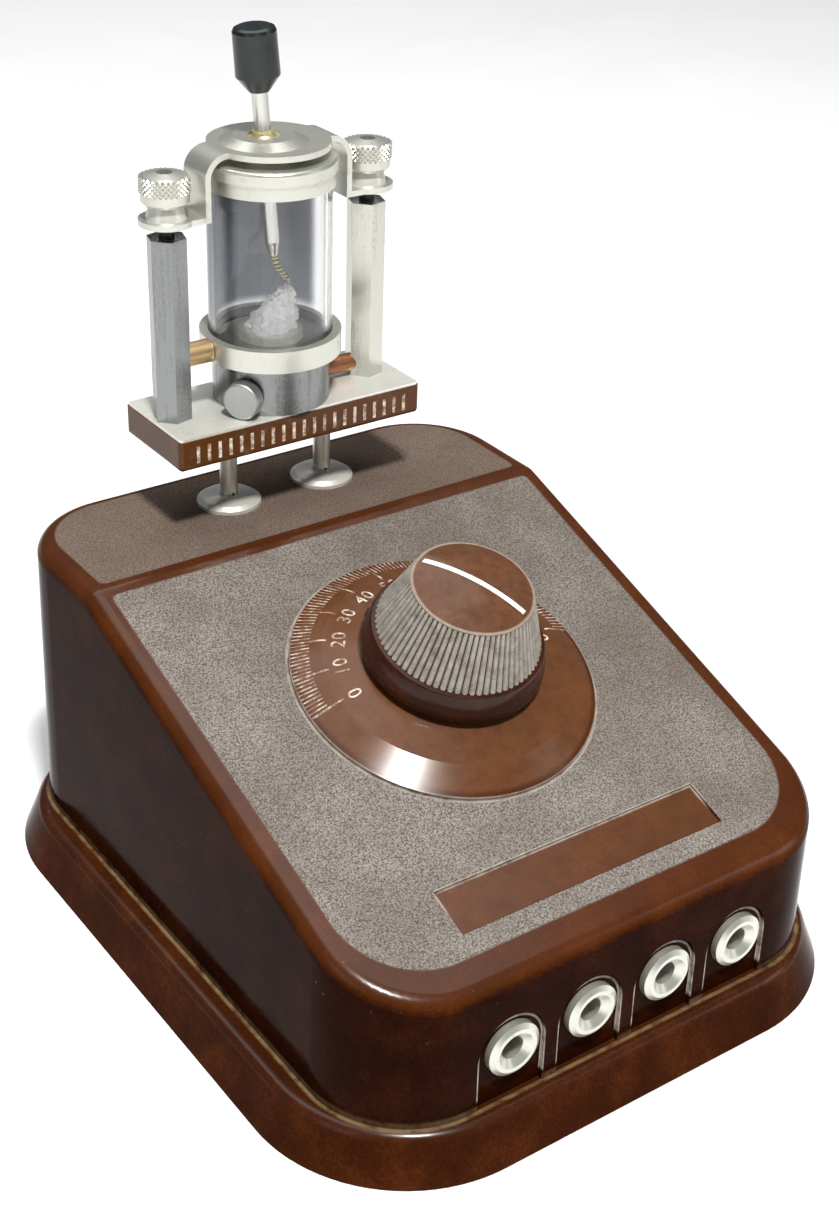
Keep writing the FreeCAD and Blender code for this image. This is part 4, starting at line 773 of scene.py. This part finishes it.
for side in ("left", "right"):
    low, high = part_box(side + "_thumb_nut")
    nut_radius = (high.x - low.x) / 2 / MM
    step = TURN / KNURLS_AROUND
    half = nut_radius * step / 2
    mesh = grown(side + "_knurl", knurl_stud(nut_radius, half * KNURL_SHARE), ROWS, Around=KNURLS_AROUND,
                 Rows=KNURL_ROWS, First=0.0, Step=step, Rise=half * MM, Finish=NICKEL_PALE)
    foot = high.z - (KNURL_ROWS * half + KNURL_FROM_TOP) * MM
    seat = Matrix.Translation(((low.x + high.x) / 2, (low.y + high.y) / 2, foot))
    finished(side + "_knurl", mesh, seat, side + "_nut")

# ---------------------------------------------------------------- marks on the detector's base
low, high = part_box("detector_base")
MARKS, MARK_TALL, MARK_WIDE, MARK_SUNK, MARK_PROUD, MARK_MARGIN = 21, 3.1, 0.62, 0.06, 0.03, 3.5
stroke = mesh_from("stroke", [(x, y, z) for x in (-MARK_TALL / 2, MARK_TALL / 2)
                              for y in (-MARK_SUNK, MARK_PROUD) for z in (-MARK_WIDE / 2, MARK_WIDE / 2)],
                   [(0, 1, 3, 2), (4, 6, 7, 5), (0, 4, 5, 1), (2, 3, 7, 6), (0, 2, 6, 4), (1, 5, 7, 3)])
spacing = (high.x - low.x - 2 * MARK_MARGIN * MM) / (MARKS - 1)
mesh = grown("base_marks", stroke, ROWS, Around=1, Rows=MARKS, First=0.0, Step=0.0, Rise=spacing,
             Finish=STROKE_PAINT)
facing = Matrix(((0, 0, 1), (0, -1, 0), (1, 0, 0))).to_4x4()
start = Matrix.Translation((low.x + MARK_MARGIN * MM, low.y, (low.z + high.z) / 2))
finished("base_marks", mesh, start @ facing, "detector")

# ---------------------------------------------------------------- crystal
lump = NODES["crystal"].data.copy()
lump.materials.clear()
mesh = grown("crystal_cluster", lump, splinters(), Density=1.6e6, Smallest=0.55 * MM, Largest=1.25 * MM,
             Seed=5, Finish=CRYSTAL)
finished("crystal_cluster", mesh, Matrix.Identity(4), "detector", stands_for=["crystal"])


# ---------------------------------------------------------------- whisker
COILS, POINTS_A_COIL, COIL_END = 7, 18, 0.86
COIL_WIDE, COIL_NARROW, COIL_TILT, WIRE_RADIUS = 0.68, 0.44, 0.25, 0.18


def wire_along(name, points, radius, sides=10):
    """A round wire through points in millimetres."""
    spots, faces = [], []
    for index, point in enumerate(points):
        ahead = points[min(index + 1, len(points) - 1)] - points[max(index - 1, 0)]
        across = ahead.cross(Vector((0.1, 0.2, 1))).normalized()
        other = across.cross(ahead).normalized()
        for side in range(sides):
            angle = TURN * side / sides
            spots.append(point + (across * math.cos(angle) + other * math.sin(angle)) * radius)
    for index in range(len(points) - 1):
        for side in range(sides):
            after = (side + 1) % sides
            low, high = index * sides, (index + 1) * sides
            faces.append((low + side, low + after, high + after, high + side))
    faces += [tuple(reversed(range(sides))), tuple(range(len(spots) - sides, len(spots)))]
    mesh = mesh_from(name, spots, faces)
    mesh.shade_smooth()
    return mesh


def along(path, share):
    """A point part of the way down a line of points."""
    lengths = [(after - before).length for before, after in zip(path, path[1:])]
    left = share * sum(lengths)
    for before, after, length in zip(path, path[1:], lengths):
        if left <= length:
            return before.lerp(after, left / length)
        left -= length
    return path[-1]


PIVOT = joint_frame("searcher_spin")
spine = [Vector(point) for point in ((0, 0, -19.4), (0.1, 0, -21.0), (1.0, -0.2, -22.8), (2.0, -0.3, -24.2),
                                     (2.6, -0.3, -25.4))]
spring = []
for index in range(COILS * POINTS_A_COIL + 1):
    share = index / (COILS * POINTS_A_COIL)
    angle = TURN * COILS * share
    outward = Vector((math.cos(angle), math.sin(angle), COIL_TILT * math.cos(angle)))
    spring.append(along(spine, share * COIL_END) + outward * (COIL_WIDE + (COIL_NARROW - COIL_WIDE) * share))
spring += [along(spine, share) for share in (0.93, 1.0)]
whisker = wire_along("whisker_spring", spring, WIRE_RADIUS)
finished("whisker_spring", whisker, PIVOT, "searcher", BRASS, ["whisker"])

# ---------------------------------------------------------------- table, lights and camera
TABLE_WIDE, TABLE_GAP = 6.0, 0.0002
bpy.ops.mesh.primitive_plane_add(size=TABLE_WIDE, location=(0, 0, -TABLE_GAP))
table = bpy.context.object
table.name = "table"
table.data.materials.append(table_top())


def soft_light(name, place, target, width, depth, power, tint=(1, 1, 1)):
    lamp = bpy.data.lights.new(name, "AREA")
    lamp.shape, lamp.size, lamp.size_y = "RECTANGLE", width, depth
    lamp.energy, lamp.color = power, tint
    holder = bpy.data.objects.new(name, lamp)
    bpy.context.scene.collection.objects.link(holder)
    holder.location = place
    holder.rotation_euler = (Vector(target) - Vector(place)).to_track_quat("-Z", "Y").to_euler()


CASE_MIDDLE = (0, 0, 0.05)
soft_light("key_light", (-0.16, -0.42, 0.95), CASE_MIDDLE, 0.11, 0.11, 15.0, (1.0, 0.985, 0.96))
soft_light("top_light", (0.10, 0.50, 1.20), (0.1, 0.4, 0.0), 1.2, 1.2, 9.5)
soft_light("left_light", (-1.2, -0.3, 0.55), CASE_MIDDLE, 0.5, 0.7, 1.0)
soft_light("right_light", (1.1, -0.9, 0.60), CASE_MIDDLE, 0.5, 0.7, 2.0)

world = bpy.data.worlds.new("studio")
world.use_nodes = True
world.node_tree.nodes["Background"].inputs["Color"].default_value = (0.9, 0.93, 1.0, 1.0)
world.node_tree.nodes["Background"].inputs["Strength"].default_value = 0.12
bpy.context.scene.world = world
bpy.context.scene.view_settings.view_transform = "Standard"

CAMERA_PLACE = Vector((-162.81, -222.75, 217.48)) * MM
CAMERA_TURNS = (-36.295, 30.138, 2.137)
camera_data = bpy.data.cameras.new("camera")
camera_data.lens = 56.10
camera_data.sensor_width = 36.0
camera = bpy.data.objects.new("camera", camera_data)
bpy.context.scene.collection.objects.link(camera)
azimuth, elevation, roll = (math.radians(value) for value in CAMERA_TURNS)
back = Vector((math.sin(azimuth) * math.cos(elevation), -math.cos(azimuth) * math.cos(elevation),
               math.sin(elevation)))
right = Vector((math.cos(azimuth), math.sin(azimuth), 0))
up = back.cross(right)
right, up = right * math.cos(roll) + up * math.sin(roll), up * math.cos(roll) - right * math.sin(roll)
camera.matrix_world = Matrix.Translation(CAMERA_PLACE) @ Matrix((right, up, back)).transposed().to_4x4()
bpy.context.scene.camera = camera
